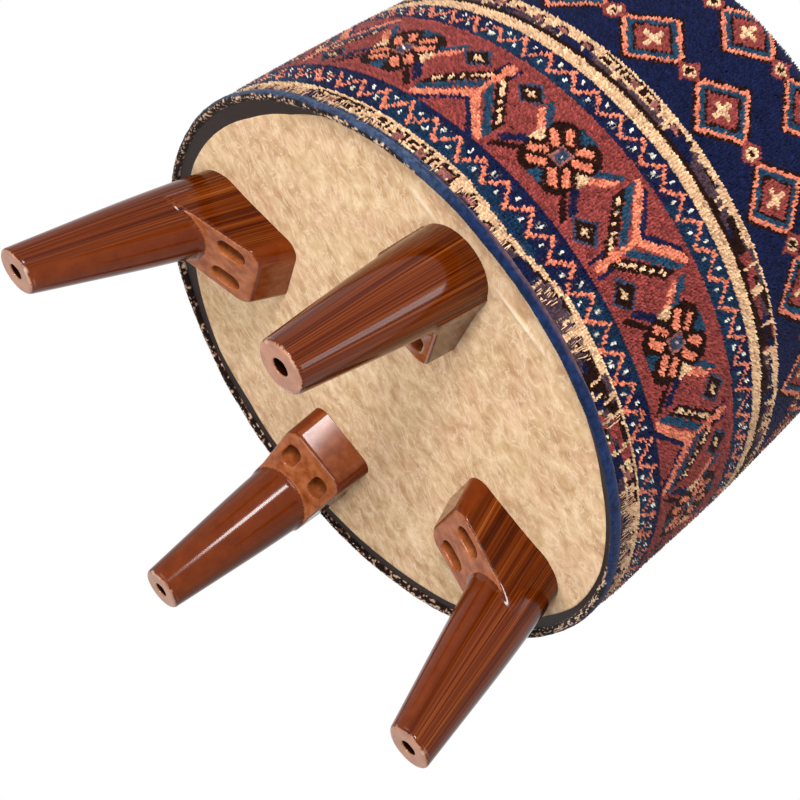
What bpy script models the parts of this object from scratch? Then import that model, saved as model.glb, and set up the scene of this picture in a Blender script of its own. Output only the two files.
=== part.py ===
"""A round pouf: a drum covered with knotted carpet, standing on four splayed moulded legs.

Metres, +Z up. The origin is on the floor, on the drum's axis, and the front leg is at -Y.
"""

import math

import bmesh
import bpy
from mathutils import Matrix, Vector

# Clearances
FIT_GAP = 0.0003            # between two pieces that touch
CUT_OVERSHOOT = 0.002       # how far a cutter runs past the face that it cuts

# Legs: bearing of each leg round the drum, and its turn about its own root, both in degrees
# They are screwed on by hand, so none is quite true
LEG_SETTING = {
    "left": (178.5, -5.0),
    "front": (269.5, 0.0),
    "right": (4.0, -3.0),
    "back": (89.7, 3.0),
}
LEG_HEIGHT = 0.130          # floor to the underside
LEG_EDGE_GAP = 0.0095       # from a leg's root out to the dust cover's edge
LEG_ROOT_RADIUS = 0.0257
LEG_COLLAR_DEPTH = 0.034    # length of the nearly straight collar above the cone
LEG_TIP_RADIUS = 0.0150
LEG_TIP_REACH = 0.0328      # how far out a tip stands from its root
LEG_TIP_CHAMFER = 0.0012
LEG_TIP_HOLE_RADIUS = 0.0050
LEG_TIP_HOLE_DEPTH = 0.012
LEG_SIDES = 32

# The screw block that grows from the inner side of each leg
BLOCK_LENGTH = 0.0615       # from the middle of the root to the block's inner end
BLOCK_HALF_WIDTH = 0.0276   # at the inner end
BLOCK_CORNER_RADIUS = 0.010
BLOCK_CORNER_STEPS = 5
BLOCK_FACE_DEPTH = 0.0342   # depth of the lower face below the underside, at the root's middle
BLOCK_FACE_SLOPE = 0.22     # the lower face drops away outward
BLOCK_SIDE_DRAFT = 0.035
BLOCK_END_DRAFT = 0.115
BLOCK_EDGE_BEVEL = 0.0012
BLOCK_BURY = 0.0005         # how far the block's sides end inside the collar
BLOCK_OUTER_END = 0.004     # where the block ends, inside the collar

# Screw slots of the block
SLOT_SETBACK = 0.0335       # from the middle of the root inward to the slots' middle
SLOT_SPACING = 0.027
SLOT_WIDTH = 0.012
SLOT_LENGTH = 0.020
SLOT_FLOOR = 0.007          # material left between a slot's floor and the underside
SLOT_END_STEPS = 8

# Screws that hold the legs
LEG_SCREW_LENGTH = 0.022
LEG_SCREW_RADIUS = 0.0022
LEG_SCREW_HEAD_RADIUS = 0.0048
LEG_SCREW_HEAD_HEIGHT = 0.0032
SCREW_POINT = 0.004
SCREW_SIDES = 12

# Underside
DUST_COVER_THICKNESS = 0.0012
LIP_DROP = 0.0041           # how far the carpet's bottom lip stands below the underside
SELVEDGE_WIDTH = 0.0060
SELVEDGE_HEIGHT = 0.0066
SELVEDGE_SIDES = 8
HEM_TAPE_WIDTH = 0.0029
HEM_TAPE_EDGE_GAP = 0.0008  # between the dust cover's edge and the tape
HEM_TAPE_SET_UP = 0.0008    # how far the tape's edge stays above the lip
HEM_TAPE_FLAT = 0.0012      # width of the tape's lower edge

# Carcass
BASE_BOARD_THICKNESS = 0.015
TOP_BOARD_THICKNESS = 0.012
POST_COUNT = 6
POST_WIDTH = 0.028
POST_LENGTH = 0.190
POST_BEARING = 30.0         # degrees, of the first post
POST_EDGE_GAP = 0.0015      # from a post's outer face to the boards' edge
WALL_THICKNESS = 0.003
WALL_SEAM = 0.001           # open butt seam of the bent sheet
WALL_SEAM_BEARING = 90.0

# Screws that hold the posts
POST_SCREW_LENGTH = 0.040
POST_SCREW_RADIUS = 0.0022
POST_SCREW_HEAD_RADIUS = 0.0042
POST_SCREW_HEAD_HEIGHT = 0.0028

# Carpet and padding
RUG_THICKNESS = 0.0075
RUG_FOOT_RADIUS = 0.1890    # outside of the carpet just above its bottom edge
RUG_SHOULDER_RADIUS = 0.1840
RUG_BELLY = 0.0030          # how far the side swells past a straight line
SHOULDER_RISE = 0.0226      # from the top board up to where the side turns in
SHOULDER_HEIGHT = 0.018
SHOULDER_WIDTH = 0.012
SEAT_CROWN = 0.020          # from the seam up to the middle of the seat
CROWN_FULLNESS = 0.6
WADDING_LEAST = 0.0026      # wadding left where the carpet comes closest to the wall
FOAM_CORNER_DROP = 0.006    # how far the foam's rounded corner stays below its edge
ROUND_STEPS = 48
OUTER_STEPS = {"side": 7, "shoulder": 4, "crown": 7}
INNER_STEPS = {"side": 4, "shoulder": 3, "crown": 5}

# Heights worked out from the sizes above
UNDERSIDE = LEG_HEIGHT
DUST_COVER_BASE = UNDERSIDE + FIT_GAP
BASE_BOARD_BASE = DUST_COVER_BASE + DUST_COVER_THICKNESS + FIT_GAP
BASE_BOARD_TOP = BASE_BOARD_BASE + BASE_BOARD_THICKNESS
POST_BASE = BASE_BOARD_TOP + FIT_GAP
POST_TOP = POST_BASE + POST_LENGTH
TOP_BOARD_BASE = POST_TOP + FIT_GAP
TOP_BOARD_TOP = TOP_BOARD_BASE + TOP_BOARD_THICKNESS
SHOULDER_BASE = TOP_BOARD_TOP + SHOULDER_RISE
SEAM_HEIGHT = SHOULDER_BASE + SHOULDER_HEIGHT
LIP_BASE = UNDERSIDE - LIP_DROP
SELVEDGE_TOP = LIP_BASE + SELVEDGE_HEIGHT
RUG_FOOT = SELVEDGE_TOP + FIT_GAP
HEM_TAPE_TOP = min(BASE_BOARD_BASE, RUG_FOOT) - FIT_GAP

# Radii worked out from the sizes above, from the carpet inward
SEAM_RADIUS = RUG_SHOULDER_RADIUS - SHOULDER_WIDTH
NARROWEST_RADIUS = min(RUG_FOOT_RADIUS, RUG_SHOULDER_RADIUS)
WADDING_INNER = NARROWEST_RADIUS - RUG_THICKNESS - FIT_GAP - WADDING_LEAST
WALL_OUTER = WADDING_INNER - FIT_GAP
WALL_INNER = WALL_OUTER - WALL_THICKNESS
BASE_BOARD_RADIUS = WALL_INNER - FIT_GAP
POST_CIRCLE = BASE_BOARD_RADIUS - POST_EDGE_GAP - POST_WIDTH / 2
SELVEDGE_OUTER = RUG_FOOT_RADIUS
SELVEDGE_INNER = SELVEDGE_OUTER - SELVEDGE_WIDTH
HEM_TAPE_OUTER = SELVEDGE_INNER - FIT_GAP
HEM_TAPE_INNER = HEM_TAPE_OUTER - HEM_TAPE_WIDTH
DUST_COVER_RADIUS = HEM_TAPE_INNER - HEM_TAPE_EDGE_GAP
LEG_CIRCLE = DUST_COVER_RADIUS - LEG_EDGE_GAP - LEG_ROOT_RADIUS  # through the middles of the roots

# Heights of the legs' screws
LEG_SCREW_BASE = UNDERSIDE - SLOT_FLOOR - FIT_GAP - LEG_SCREW_HEAD_HEIGHT
LEG_SCREW_TIP = LEG_SCREW_BASE + LEG_SCREW_HEAD_HEIGHT + LEG_SCREW_LENGTH

SMOOTH_ANGLE = math.radians(35)
MERGE_DISTANCE = 0.000001


def clear_scene():
    for obj in list(bpy.data.objects):
        bpy.data.objects.remove(obj, do_unlink=True)


def make_material(name, colour, roughness, metallic=0.0):
    material = bpy.data.materials.new(name)
    material.use_nodes = True
    shader = material.node_tree.nodes["Principled BSDF"]
    shader.inputs["Base Color"].default_value = (*colour, 1.0)
    shader.inputs["Roughness"].default_value = roughness
    shader.inputs["Metallic"].default_value = metallic
    return material


def mesh_from(bm, name):
    """Closes a bmesh's work: faces point out, round parts are smooth."""
    bmesh.ops.remove_doubles(bm, verts=bm.verts, dist=MERGE_DISTANCE)
    bmesh.ops.recalc_face_normals(bm, faces=bm.faces)
    mesh = bpy.data.meshes.new(name)
    bm.to_mesh(mesh)
    bm.free()
    mesh.shade_smooth()
    mesh.set_sharp_from_angle(angle=SMOOTH_ANGLE)
    return mesh


def add_object(name, mesh, material=None):
    obj = bpy.data.objects.new(name, mesh)
    bpy.context.scene.collection.objects.link(obj)
    if material is not None:
        mesh.materials.clear()
        mesh.materials.append(material)
    return obj


def place(obj, radius, bearing, height, turn=0.0):
    """Sets an object on a circle round the drum's axis, its own +X outward."""
    angle = math.radians(bearing)
    obj.location = (radius * math.cos(angle), radius * math.sin(angle), height)
    obj.rotation_euler.z = angle + math.radians(turn)
    return obj


def turned(profile, name, steps=ROUND_STEPS, angle=math.tau, start=0.0):
    """Spins a closed (radius, height) outline about +Z. Less than a full turn leaves two end faces."""
    bm = bmesh.new()
    turn = Matrix.Rotation(start, 4, "Z")
    verts = [bm.verts.new(turn @ Vector((radius, 0.0, height))) for radius, height in profile]
    whole = angle >= math.tau
    if whole:
        edges = [bm.edges.new((verts[i - 1], verts[i])) for i in range(len(verts))]
        geometry = verts + edges
    else:
        geometry = [bm.faces.new(verts)]
    bmesh.ops.spin(
        bm, geom=geometry, cent=(0, 0, 0), axis=(0, 0, 1), angle=angle, steps=steps, use_merge=whole
    )
    bmesh.ops.remove_doubles(bm, verts=bm.verts, dist=MERGE_DISTANCE)
    for face in [face for face in bm.faces if face.calc_area() < MERGE_DISTANCE**2]:
        bm.faces.remove(face)
    loose = [edge for edge in bm.edges if not edge.link_faces]
    bmesh.ops.delete(bm, geom=loose, context="EDGES")
    return mesh_from(bm, name)


def lofted(rings, name):
    """Joins rings of equal length into one closed body with flat ends."""
    bm = bmesh.new()
    loops = [[bm.verts.new(point) for point in ring] for ring in rings]
    for low, high in zip(loops, loops[1:]):
        for i in range(len(low)):
            bm.faces.new((low[i - 1], low[i], high[i], high[i - 1]))
    bm.faces.new(loops[0])
    bm.faces.new(loops[-1])
    return mesh_from(bm, name)


def boolean(target, tool, operation):
    """Joins or cuts one object with another, removes both and returns the finished mesh."""
    modifier = target.modifiers.new(operation, "BOOLEAN")
    modifier.operation = operation
    modifier.solver = "EXACT"
    modifier.object = tool
    bpy.context.view_layer.update()
    graph = bpy.context.evaluated_depsgraph_get()
    mesh = bpy.data.meshes.new_from_object(target.evaluated_get(graph))
    bpy.data.objects.remove(target, do_unlink=True)
    bpy.data.objects.remove(tool, do_unlink=True)
    mesh.shade_smooth()
    mesh.set_sharp_from_angle(angle=SMOOTH_ANGLE)
    return mesh


def cut(mesh, cutter):
    return boolean(add_object("work", mesh), add_object("cutter", cutter), "DIFFERENCE")


def joined(meshes, name):
    """One mesh that holds several separate cutters."""
    bm = bmesh.new()
    for mesh in meshes:
        bm.from_mesh(mesh)
    return mesh_from(bm, name)


def circle(radius, steps, middle=(0.0, 0.0), height=0.0):
    return [
        (
            middle[0] + radius * math.cos(math.tau * i / steps),
            middle[1] + radius * math.sin(math.tau * i / steps),
            height,
        )
        for i in range(steps)
    ]


def drill(radius, low, high, middle=(0.0, 0.0)):
    """A round cutter from one height to another."""
    return lofted(
        [circle(radius, SCREW_SIDES, middle, low), circle(radius, SCREW_SIDES, middle, high)], "drill"
    )


def disc(radius, low, high, name):
    return turned([(0.0, low), (radius, low), (radius, high), (0.0, high)], name)


def pan_head_screw():
    """Outline of a leg screw that points up, its head's lower face at height 0."""
    top = LEG_SCREW_HEAD_HEIGHT + LEG_SCREW_LENGTH
    half = LEG_SCREW_HEAD_HEIGHT / 2
    return [
        (0.0, 0.0),
        (LEG_SCREW_HEAD_RADIUS - half, 0.0),
        (LEG_SCREW_HEAD_RADIUS, half),
        (LEG_SCREW_HEAD_RADIUS, LEG_SCREW_HEAD_HEIGHT),
        (LEG_SCREW_RADIUS, LEG_SCREW_HEAD_HEIGHT),
        (LEG_SCREW_RADIUS, top - SCREW_POINT),
        (0.0, top),
    ]


def countersunk_screw():
    """Outline of a post screw that points up, its head's lower face at height 0."""
    top = POST_SCREW_HEAD_HEIGHT + POST_SCREW_LENGTH
    return [
        (0.0, 0.0),
        (POST_SCREW_HEAD_RADIUS, 0.0),
        (POST_SCREW_HEAD_RADIUS, FIT_GAP),
        (POST_SCREW_RADIUS, POST_SCREW_HEAD_HEIGHT),
        (POST_SCREW_RADIUS, top - SCREW_POINT),
        (0.0, top),
    ]


# Legs

LEG_LEAN = LEG_TIP_REACH / LEG_HEIGHT


def leg_radius(depth):
    """Radius of the collar and the cone at a depth below the underside."""
    collar_end = LEG_ROOT_RADIUS - LEG_COLLAR_DEPTH * BLOCK_SIDE_DRAFT
    if depth <= LEG_COLLAR_DEPTH:
        return LEG_ROOT_RADIUS - depth * BLOCK_SIDE_DRAFT
    share = (depth - LEG_COLLAR_DEPTH) / (LEG_HEIGHT - LEG_COLLAR_DEPTH)
    return collar_end + (LEG_TIP_RADIUS - collar_end) * share


def leg_cone():
    depths = [0.0, LEG_COLLAR_DEPTH, LEG_HEIGHT - LEG_TIP_CHAMFER]
    rings = [
        circle(leg_radius(depth), LEG_SIDES, (LEG_LEAN * depth, 0.0), -depth) for depth in depths
    ]
    tip_radius = LEG_TIP_RADIUS - LEG_TIP_CHAMFER
    rings.append(circle(tip_radius, LEG_SIDES, (LEG_TIP_REACH, 0.0), -LEG_HEIGHT))
    return lofted(rings, "cone")


def block_outline(shrink):
    """The block in plan at the underside, drawn in by shrink, from its outer end round its inner end."""
    root_width = LEG_ROOT_RADIUS - BLOCK_BURY - shrink
    end_width = BLOCK_HALF_WIDTH - shrink
    corner = BLOCK_CORNER_RADIUS - shrink
    corner_x = -BLOCK_LENGTH + BLOCK_CORNER_RADIUS
    corner_y = end_width - corner
    half = [(BLOCK_OUTER_END, root_width), (0.0, root_width)]
    for i in range(BLOCK_CORNER_STEPS + 1):
        angle = math.pi / 2 * (1 + i / BLOCK_CORNER_STEPS)
        half.append((corner_x + corner * math.cos(angle), corner_y + corner * math.sin(angle)))
    return half + [(x, -y) for x, y in reversed(half)]


def block_point(x, y, face_depth):
    """Where a wall that starts at (x, y) on the underside meets the sloping lower face."""
    end_pull = BLOCK_END_DRAFT * max(-x, 0.0) / BLOCK_LENGTH
    run = LEG_LEAN + end_pull
    depth = (face_depth + BLOCK_FACE_SLOPE * x) / (1 - BLOCK_FACE_SLOPE * run)
    side_scale = 1 - depth * BLOCK_SIDE_DRAFT / BLOCK_HALF_WIDTH
    return (x + run * depth, y * side_scale, -depth)


def leg_block():
    plan = block_outline(0.0)
    top = [(x, y, 0.0) for x, y in plan]
    wall_end = [block_point(x, y, BLOCK_FACE_DEPTH - BLOCK_EDGE_BEVEL) for x, y in plan]
    face = [block_point(x, y, BLOCK_FACE_DEPTH) for x, y in block_outline(BLOCK_EDGE_BEVEL)]
    return lofted([top, wall_end, face], "block")


def slot_outline(height):
    """A round-ended slot along X."""
    straight = (SLOT_LENGTH - SLOT_WIDTH) / 2
    points = []
    for side in (1, -1):
        for i in range(SLOT_END_STEPS + 1):
            angle = -math.pi / 2 * side + math.pi * i / SLOT_END_STEPS
            points.append(
                (
                    side * straight + SLOT_WIDTH / 2 * math.cos(angle),
                    SLOT_WIDTH / 2 * math.sin(angle),
                    height,
                )
            )
    return points


def screw_places():
    """Middles of a leg's two screws in the leg's own frame."""
    return [(-SLOT_SETBACK, side * SLOT_SPACING / 2) for side in (-1, 1)]


def leg_cutters():
    cutters = []
    deepest = BLOCK_FACE_DEPTH + SLOT_LENGTH
    for x, y in screw_places():
        place_slot = Matrix.Translation((x, y, 0.0))
        rings = [
            [place_slot @ Vector(point) for point in slot_outline(height)]
            for height in (-deepest, -SLOT_FLOOR)
        ]
        cutters.append(lofted(rings, "slot"))
    return joined(cutters, "slots")


def leg_bores():
    bores = [
        drill(LEG_SCREW_RADIUS + FIT_GAP, -SLOT_FLOOR - CUT_OVERSHOOT, CUT_OVERSHOOT, middle)
        for middle in screw_places()
    ]
    bores.append(
        drill(
            LEG_TIP_HOLE_RADIUS,
            -LEG_HEIGHT - CUT_OVERSHOOT,
            -LEG_HEIGHT + LEG_TIP_HOLE_DEPTH,
            (LEG_TIP_REACH, 0.0),
        )
    )
    return joined(bores, "bores")


def build_legs():
    mesh = boolean(add_object("cone", leg_cone()), add_object("block", leg_block()), "UNION")
    mesh = cut(mesh, leg_cutters())
    mesh = cut(mesh, leg_bores())
    moulded = make_material("leg_wood_print", (0.13, 0.03, 0.01), 0.22)
    steel = make_material("leg_screw_steel", (0.35, 0.30, 0.24), 0.35, 1.0)
    screw = turned(pan_head_screw(), "leg_screw", SCREW_SIDES)
    for name, (bearing, turn) in LEG_SETTING.items():
        leg = add_object(f"leg_{name}", mesh, moulded)
        place(leg, LEG_CIRCLE, bearing, UNDERSIDE, turn)
        for number, (x, y) in enumerate(screw_places(), 1):
            fixing = add_object(f"leg_screw_{name}_{number}", screw, steel)
            fixing.parent = leg
            fixing.location = (x, y, LEG_SCREW_BASE - UNDERSIDE)


def leg_screw_spots():
    """Middles of all the leg screws on the underside."""
    spots = []
    for bearing, turn in LEG_SETTING.values():
        angle = math.radians(bearing)
        root = Vector((LEG_CIRCLE * math.cos(angle), LEG_CIRCLE * math.sin(angle)))
        for x, y in screw_places():
            offset = Vector((x, y))
            offset.rotate(Matrix.Rotation(angle + math.radians(turn), 2))
            spots.append(tuple(root + offset))
    return spots


# Carcass


def post_spots():
    spots = []
    for i in range(POST_COUNT):
        angle = math.radians(POST_BEARING) + math.tau * i / POST_COUNT
        spots.append((POST_CIRCLE * math.cos(angle), POST_CIRCLE * math.sin(angle)))
    return spots


def countersink(middle, face, inward):
    """A cutter for a countersunk screw whose head lies flush with a board's face."""
    x, y = middle
    depth = POST_SCREW_HEAD_HEIGHT + FIT_GAP
    head = POST_SCREW_HEAD_RADIUS + 2 * FIT_GAP
    bore = POST_SCREW_RADIUS + FIT_GAP
    past = BASE_BOARD_THICKNESS + TOP_BOARD_THICKNESS
    heights = [-CUT_OVERSHOOT, FIT_GAP, depth, past]
    radii = [head, head, bore, bore]
    rings = [
        circle(radius, SCREW_SIDES, (x, y), face + inward * height)
        for radius, height in zip(radii, heights)
    ]
    return lofted(rings, "countersink")


def build_boards(plywood):
    pilot = LEG_SCREW_RADIUS + FIT_GAP
    blind_end = LEG_SCREW_TIP + 2 * FIT_GAP
    base_cutters = [
        drill(pilot, BASE_BOARD_BASE - CUT_OVERSHOOT, blind_end, spot) for spot in leg_screw_spots()
    ]
    base_cutters += [countersink(spot, BASE_BOARD_BASE, 1) for spot in post_spots()]
    base = disc(BASE_BOARD_RADIUS, BASE_BOARD_BASE, BASE_BOARD_TOP, "base_board")
    add_object("base_board", cut(base, joined(base_cutters, "base_bores")), plywood)

    top_cutters = [countersink(spot, TOP_BOARD_TOP, -1) for spot in post_spots()]
    top = disc(BASE_BOARD_RADIUS, TOP_BOARD_BASE, TOP_BOARD_TOP, "top_board")
    add_object("top_board", cut(top, joined(top_cutters, "top_bores")), plywood)


def post_screw_reach(board_thickness):
    """How far a post screw reaches past its board into the post."""
    return POST_SCREW_HEAD_HEIGHT + POST_SCREW_LENGTH + FIT_GAP - board_thickness


def build_posts():
    timber = make_material("post_timber", (0.62, 0.45, 0.27), 0.7)
    steel = make_material("post_screw_steel", (0.55, 0.52, 0.45), 0.35, 1.0)
    half = POST_WIDTH / 2
    corners = [(-half, -half), (half, -half), (half, half), (-half, half)]
    mesh = lofted([[(x, y, z) for x, y in corners] for z in (0.0, POST_LENGTH)], "post")
    bore = POST_SCREW_RADIUS + FIT_GAP
    low_end = post_screw_reach(BASE_BOARD_THICKNESS)
    high_end = POST_LENGTH - post_screw_reach(TOP_BOARD_THICKNESS)
    bores = [
        drill(bore, -CUT_OVERSHOOT, low_end),
        drill(bore, high_end, POST_LENGTH + CUT_OVERSHOOT),
    ]
    mesh = cut(mesh, joined(bores, "post_bores"))
    screw = turned(countersunk_screw(), "post_screw", SCREW_SIDES)
    for i in range(POST_COUNT):
        bearing = POST_BEARING + 360.0 * i / POST_COUNT
        place(add_object(f"post_{i + 1}", mesh, timber), POST_CIRCLE, bearing, POST_BASE)
        low = add_object(f"post_screw_low_{i + 1}", screw, steel)
        place(low, POST_CIRCLE, bearing, BASE_BOARD_BASE + FIT_GAP)
        top = add_object(f"post_screw_top_{i + 1}", screw, steel)
        place(top, POST_CIRCLE, bearing, TOP_BOARD_TOP - FIT_GAP)
        top.rotation_euler.x = math.pi


def build_wall():
    hardboard = make_material("hardboard", (0.30, 0.19, 0.11), 0.75)
    profile = [
        (WALL_INNER, BASE_BOARD_BASE),
        (WALL_OUTER, BASE_BOARD_BASE),
        (WALL_OUTER, TOP_BOARD_TOP),
        (WALL_INNER, TOP_BOARD_TOP),
    ]
    seam = WALL_SEAM / WALL_OUTER
    start = math.radians(WALL_SEAM_BEARING) + seam / 2
    add_object("side_wall", turned(profile, "side_wall", angle=math.tau - seam, start=start), hardboard)


def build_dust_cover():
    suede = make_material("dust_cover_suede", (0.72, 0.50, 0.33), 0.95)
    low = DUST_COVER_BASE
    high = DUST_COVER_BASE + DUST_COVER_THICKNESS
    bore = LEG_SCREW_RADIUS + FIT_GAP
    cutters = [
        drill(bore, low - CUT_OVERSHOOT, high + CUT_OVERSHOOT, spot) for spot in leg_screw_spots()
    ]
    mesh = cut(disc(DUST_COVER_RADIUS, low, high, "dust_cover"), joined(cutters, "cover_bores"))
    add_object("dust_cover", mesh, suede)


# Carpet and padding


def side_outline(inset, steps):
    """The carpet's side from its foot to the seam, drawn in by inset."""
    points = []
    for i in range(steps["side"]):
        share = i / steps["side"]
        radius = RUG_FOOT_RADIUS + (RUG_SHOULDER_RADIUS - RUG_FOOT_RADIUS) * share
        swell = 4 * RUG_BELLY * share * (1 - share)
        points.append((radius + swell - inset, RUG_FOOT + (SHOULDER_BASE - RUG_FOOT) * share))
    for i in range(steps["shoulder"] + 1):
        angle = math.pi / 2 * i / steps["shoulder"]
        points.append(
            (
                SEAM_RADIUS + (SHOULDER_WIDTH - inset) * math.cos(angle),
                SHOULDER_BASE + (SHOULDER_HEIGHT - inset) * math.sin(angle),
            )
        )
    return points


def crown_outline(inset, steps):
    """The seat from the seam to the middle, drawn in by inset."""
    edge = SEAM_RADIUS - inset
    points = []
    for i in range(steps["crown"]):
        share = math.cos(math.pi / 2 * i / steps["crown"])
        rise = (SEAT_CROWN - inset) * (1 - share**2) ** CROWN_FULLNESS
        points.append((edge * share, SEAM_HEIGHT + rise))
    return [*points, (0.0, SEAM_HEIGHT + SEAT_CROWN - inset)]


def build_carpet():
    pile = make_material("carpet_side", (0.20, 0.07, 0.06), 0.95)
    outer = side_outline(0.0, OUTER_STEPS)
    inner = side_outline(RUG_THICKNESS, INNER_STEPS)
    outer[-1] = (outer[-1][0] + FIT_GAP, outer[-1][1])
    inner[-1] = (inner[-1][0] + FIT_GAP, inner[-1][1])
    add_object("rug_side", turned(outer + inner[::-1], "rug_side"), pile)

    seat = make_material("carpet_seat", (0.22, 0.08, 0.07), 0.95)
    turned_in = SEAM_HEIGHT - RUG_THICKNESS
    outer = [(SEAM_RADIUS, turned_in), *crown_outline(0.0, OUTER_STEPS)]
    inner = [(SEAM_RADIUS - RUG_THICKNESS, turned_in), *crown_outline(RUG_THICKNESS, INNER_STEPS)]
    add_object("rug_top", turned(outer + inner[::-1], "rug_top"), seat)


def build_edge_trim():
    wool = make_material("selvedge_wool", (0.06, 0.09, 0.14), 0.9)
    middle = Vector((SELVEDGE_INNER + SELVEDGE_WIDTH / 2, LIP_BASE + SELVEDGE_HEIGHT / 2))
    profile = []
    for i in range(SELVEDGE_SIDES):
        angle = math.tau * (i + 0.5) / SELVEDGE_SIDES
        reach = Vector((SELVEDGE_WIDTH * math.cos(angle), SELVEDGE_HEIGHT * math.sin(angle)))
        profile.append(tuple(middle + reach / 2 / math.cos(math.pi / SELVEDGE_SIDES)))
    add_object("rug_selvedge", turned(profile, "rug_selvedge"), wool)

    tape = make_material("hem_tape_black", (0.02, 0.012, 0.01), 0.45)
    low = LIP_BASE + HEM_TAPE_SET_UP
    profile = [
        (HEM_TAPE_INNER, HEM_TAPE_TOP),
        (HEM_TAPE_INNER, UNDERSIDE),
        (HEM_TAPE_OUTER - HEM_TAPE_FLAT, low),
        (HEM_TAPE_OUTER, low),
        (HEM_TAPE_OUTER, HEM_TAPE_TOP),
    ]
    add_object("hem_tape", turned(profile, "hem_tape"), tape)


def build_padding():
    wadding = make_material("wadding_white", (0.85, 0.84, 0.80), 0.95)
    clear = RUG_THICKNESS + FIT_GAP
    outer = side_outline(clear, INNER_STEPS)[: INNER_STEPS["side"] + 1]
    outer[0] = (outer[0][0], BASE_BOARD_BASE)
    inner = [(WADDING_INNER, outer[0][1]), (WADDING_INNER, outer[-1][1])]
    add_object("side_wadding", turned(outer + inner[::-1], "side_wadding"), wadding)

    foam = make_material("foam_cream", (0.85, 0.78, 0.58), 0.9)
    edge = SEAM_HEIGHT - RUG_THICKNESS - FIT_GAP
    low = TOP_BOARD_TOP + FIT_GAP
    profile = [
        (0.0, low),
        (WALL_OUTER, low),
        (WALL_OUTER, edge - FOAM_CORNER_DROP),
        (SEAM_RADIUS - clear, edge),
        *crown_outline(clear, INNER_STEPS),
    ]
    add_object("seat_foam", turned(profile, "seat_foam"), foam)


def main():
    clear_scene()
    plywood = make_material("plywood", (0.68, 0.50, 0.30), 0.65)
    build_legs()
    build_dust_cover()
    build_boards(plywood)
    build_posts()
    build_wall()
    build_padding()
    build_edge_trim()
    build_carpet()


main()
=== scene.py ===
import math

import bpy
import numpy as np
from mathutils import Matrix, Vector


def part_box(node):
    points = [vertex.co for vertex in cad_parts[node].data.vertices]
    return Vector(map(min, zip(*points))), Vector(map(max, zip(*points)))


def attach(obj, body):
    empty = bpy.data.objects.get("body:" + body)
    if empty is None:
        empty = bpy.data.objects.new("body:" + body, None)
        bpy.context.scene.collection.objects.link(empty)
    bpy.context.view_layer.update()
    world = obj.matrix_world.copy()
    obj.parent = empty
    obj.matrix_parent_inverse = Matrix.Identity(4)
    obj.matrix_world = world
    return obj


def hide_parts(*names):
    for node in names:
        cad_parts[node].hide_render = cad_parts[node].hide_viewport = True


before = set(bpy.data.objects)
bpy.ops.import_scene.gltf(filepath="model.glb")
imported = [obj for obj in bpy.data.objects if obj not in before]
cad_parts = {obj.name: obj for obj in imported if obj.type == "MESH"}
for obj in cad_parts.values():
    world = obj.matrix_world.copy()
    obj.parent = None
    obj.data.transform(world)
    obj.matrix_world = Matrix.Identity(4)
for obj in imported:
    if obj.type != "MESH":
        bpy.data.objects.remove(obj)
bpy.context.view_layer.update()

dice = np.random.default_rng(1947)             # one seed, so that each run gives the same carpet

# heights that the CAD part sets
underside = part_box("leg_front")[1].z
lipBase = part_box("rug_selvedge")[0].z
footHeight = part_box("rug_side")[0].z
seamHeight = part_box("rug_side")[1].z
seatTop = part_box("rug_top")[1].z
print("frame loaded, underside at", round(underside, 4))


# small helpers for meshes

def srgb(red, green, blue):
    shares = [part / 255 for part in (red, green, blue)]
    return tuple(part / 12.92 if part <= 0.04045 else ((part + 0.055) / 1.055) ** 2.4 for part in shares)


def addPiece(name, points, faces, material):
    mesh = bpy.data.meshes.new(name)
    mesh.from_pydata(points.tolist(), [], faces if isinstance(faces, list) else faces.tolist())
    mesh.update()
    mesh.materials.append(material)
    mesh.shade_smooth()
    piece = bpy.data.objects.new(name, mesh)
    bpy.context.scene.collection.objects.link(piece)
    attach(piece, "root")
    return piece


def paintPoints(piece, layerName, colours):
    layer = piece.data.attributes.new(layerName, "FLOAT_COLOR", "POINT")
    filled = np.ones((len(colours), 4), dtype=np.float32)
    filled[:, :3] = colours
    layer.data.foreach_set("color", filled.ravel())


def markPoints(piece, layerName, values):
    layer = piece.data.attributes.new(layerName, "FLOAT", "POINT")
    layer.data.foreach_set("value", np.asarray(values, dtype=np.float32))


def ringFaces(rings, columns, tube=False):
    # quads between rings of points; a tube joins the last ring to the first
    ring, column = np.meshgrid(np.arange(rings if tube else rings - 1), np.arange(columns), indexing="ij")
    above, following = (ring + 1) % rings, (column + 1) % columns
    corners = [ring * columns + column, ring * columns + following]
    corners += [above * columns + following, above * columns + column]
    return np.stack(corners, axis=-1).reshape(-1, 4)


def discFaces(rings, columns):
    # the rings' quads and a fan round the middle point, which comes last
    fan = [[rings * columns, (column + 1) % columns, column] for column in range(columns)]
    return ringFaces(rings, columns).tolist() + fan


def turnAngles(count):
    return np.linspace(-math.pi, math.pi, count, endpoint=False)


def unit(vectors):
    return vectors / np.maximum(np.linalg.norm(vectors, axis=-1, keepdims=True), 1e-9)


def around(radius, angle, height):
    return np.stack([radius * np.cos(angle), radius * np.sin(angle), height + 0 * angle], axis=-1)


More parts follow.
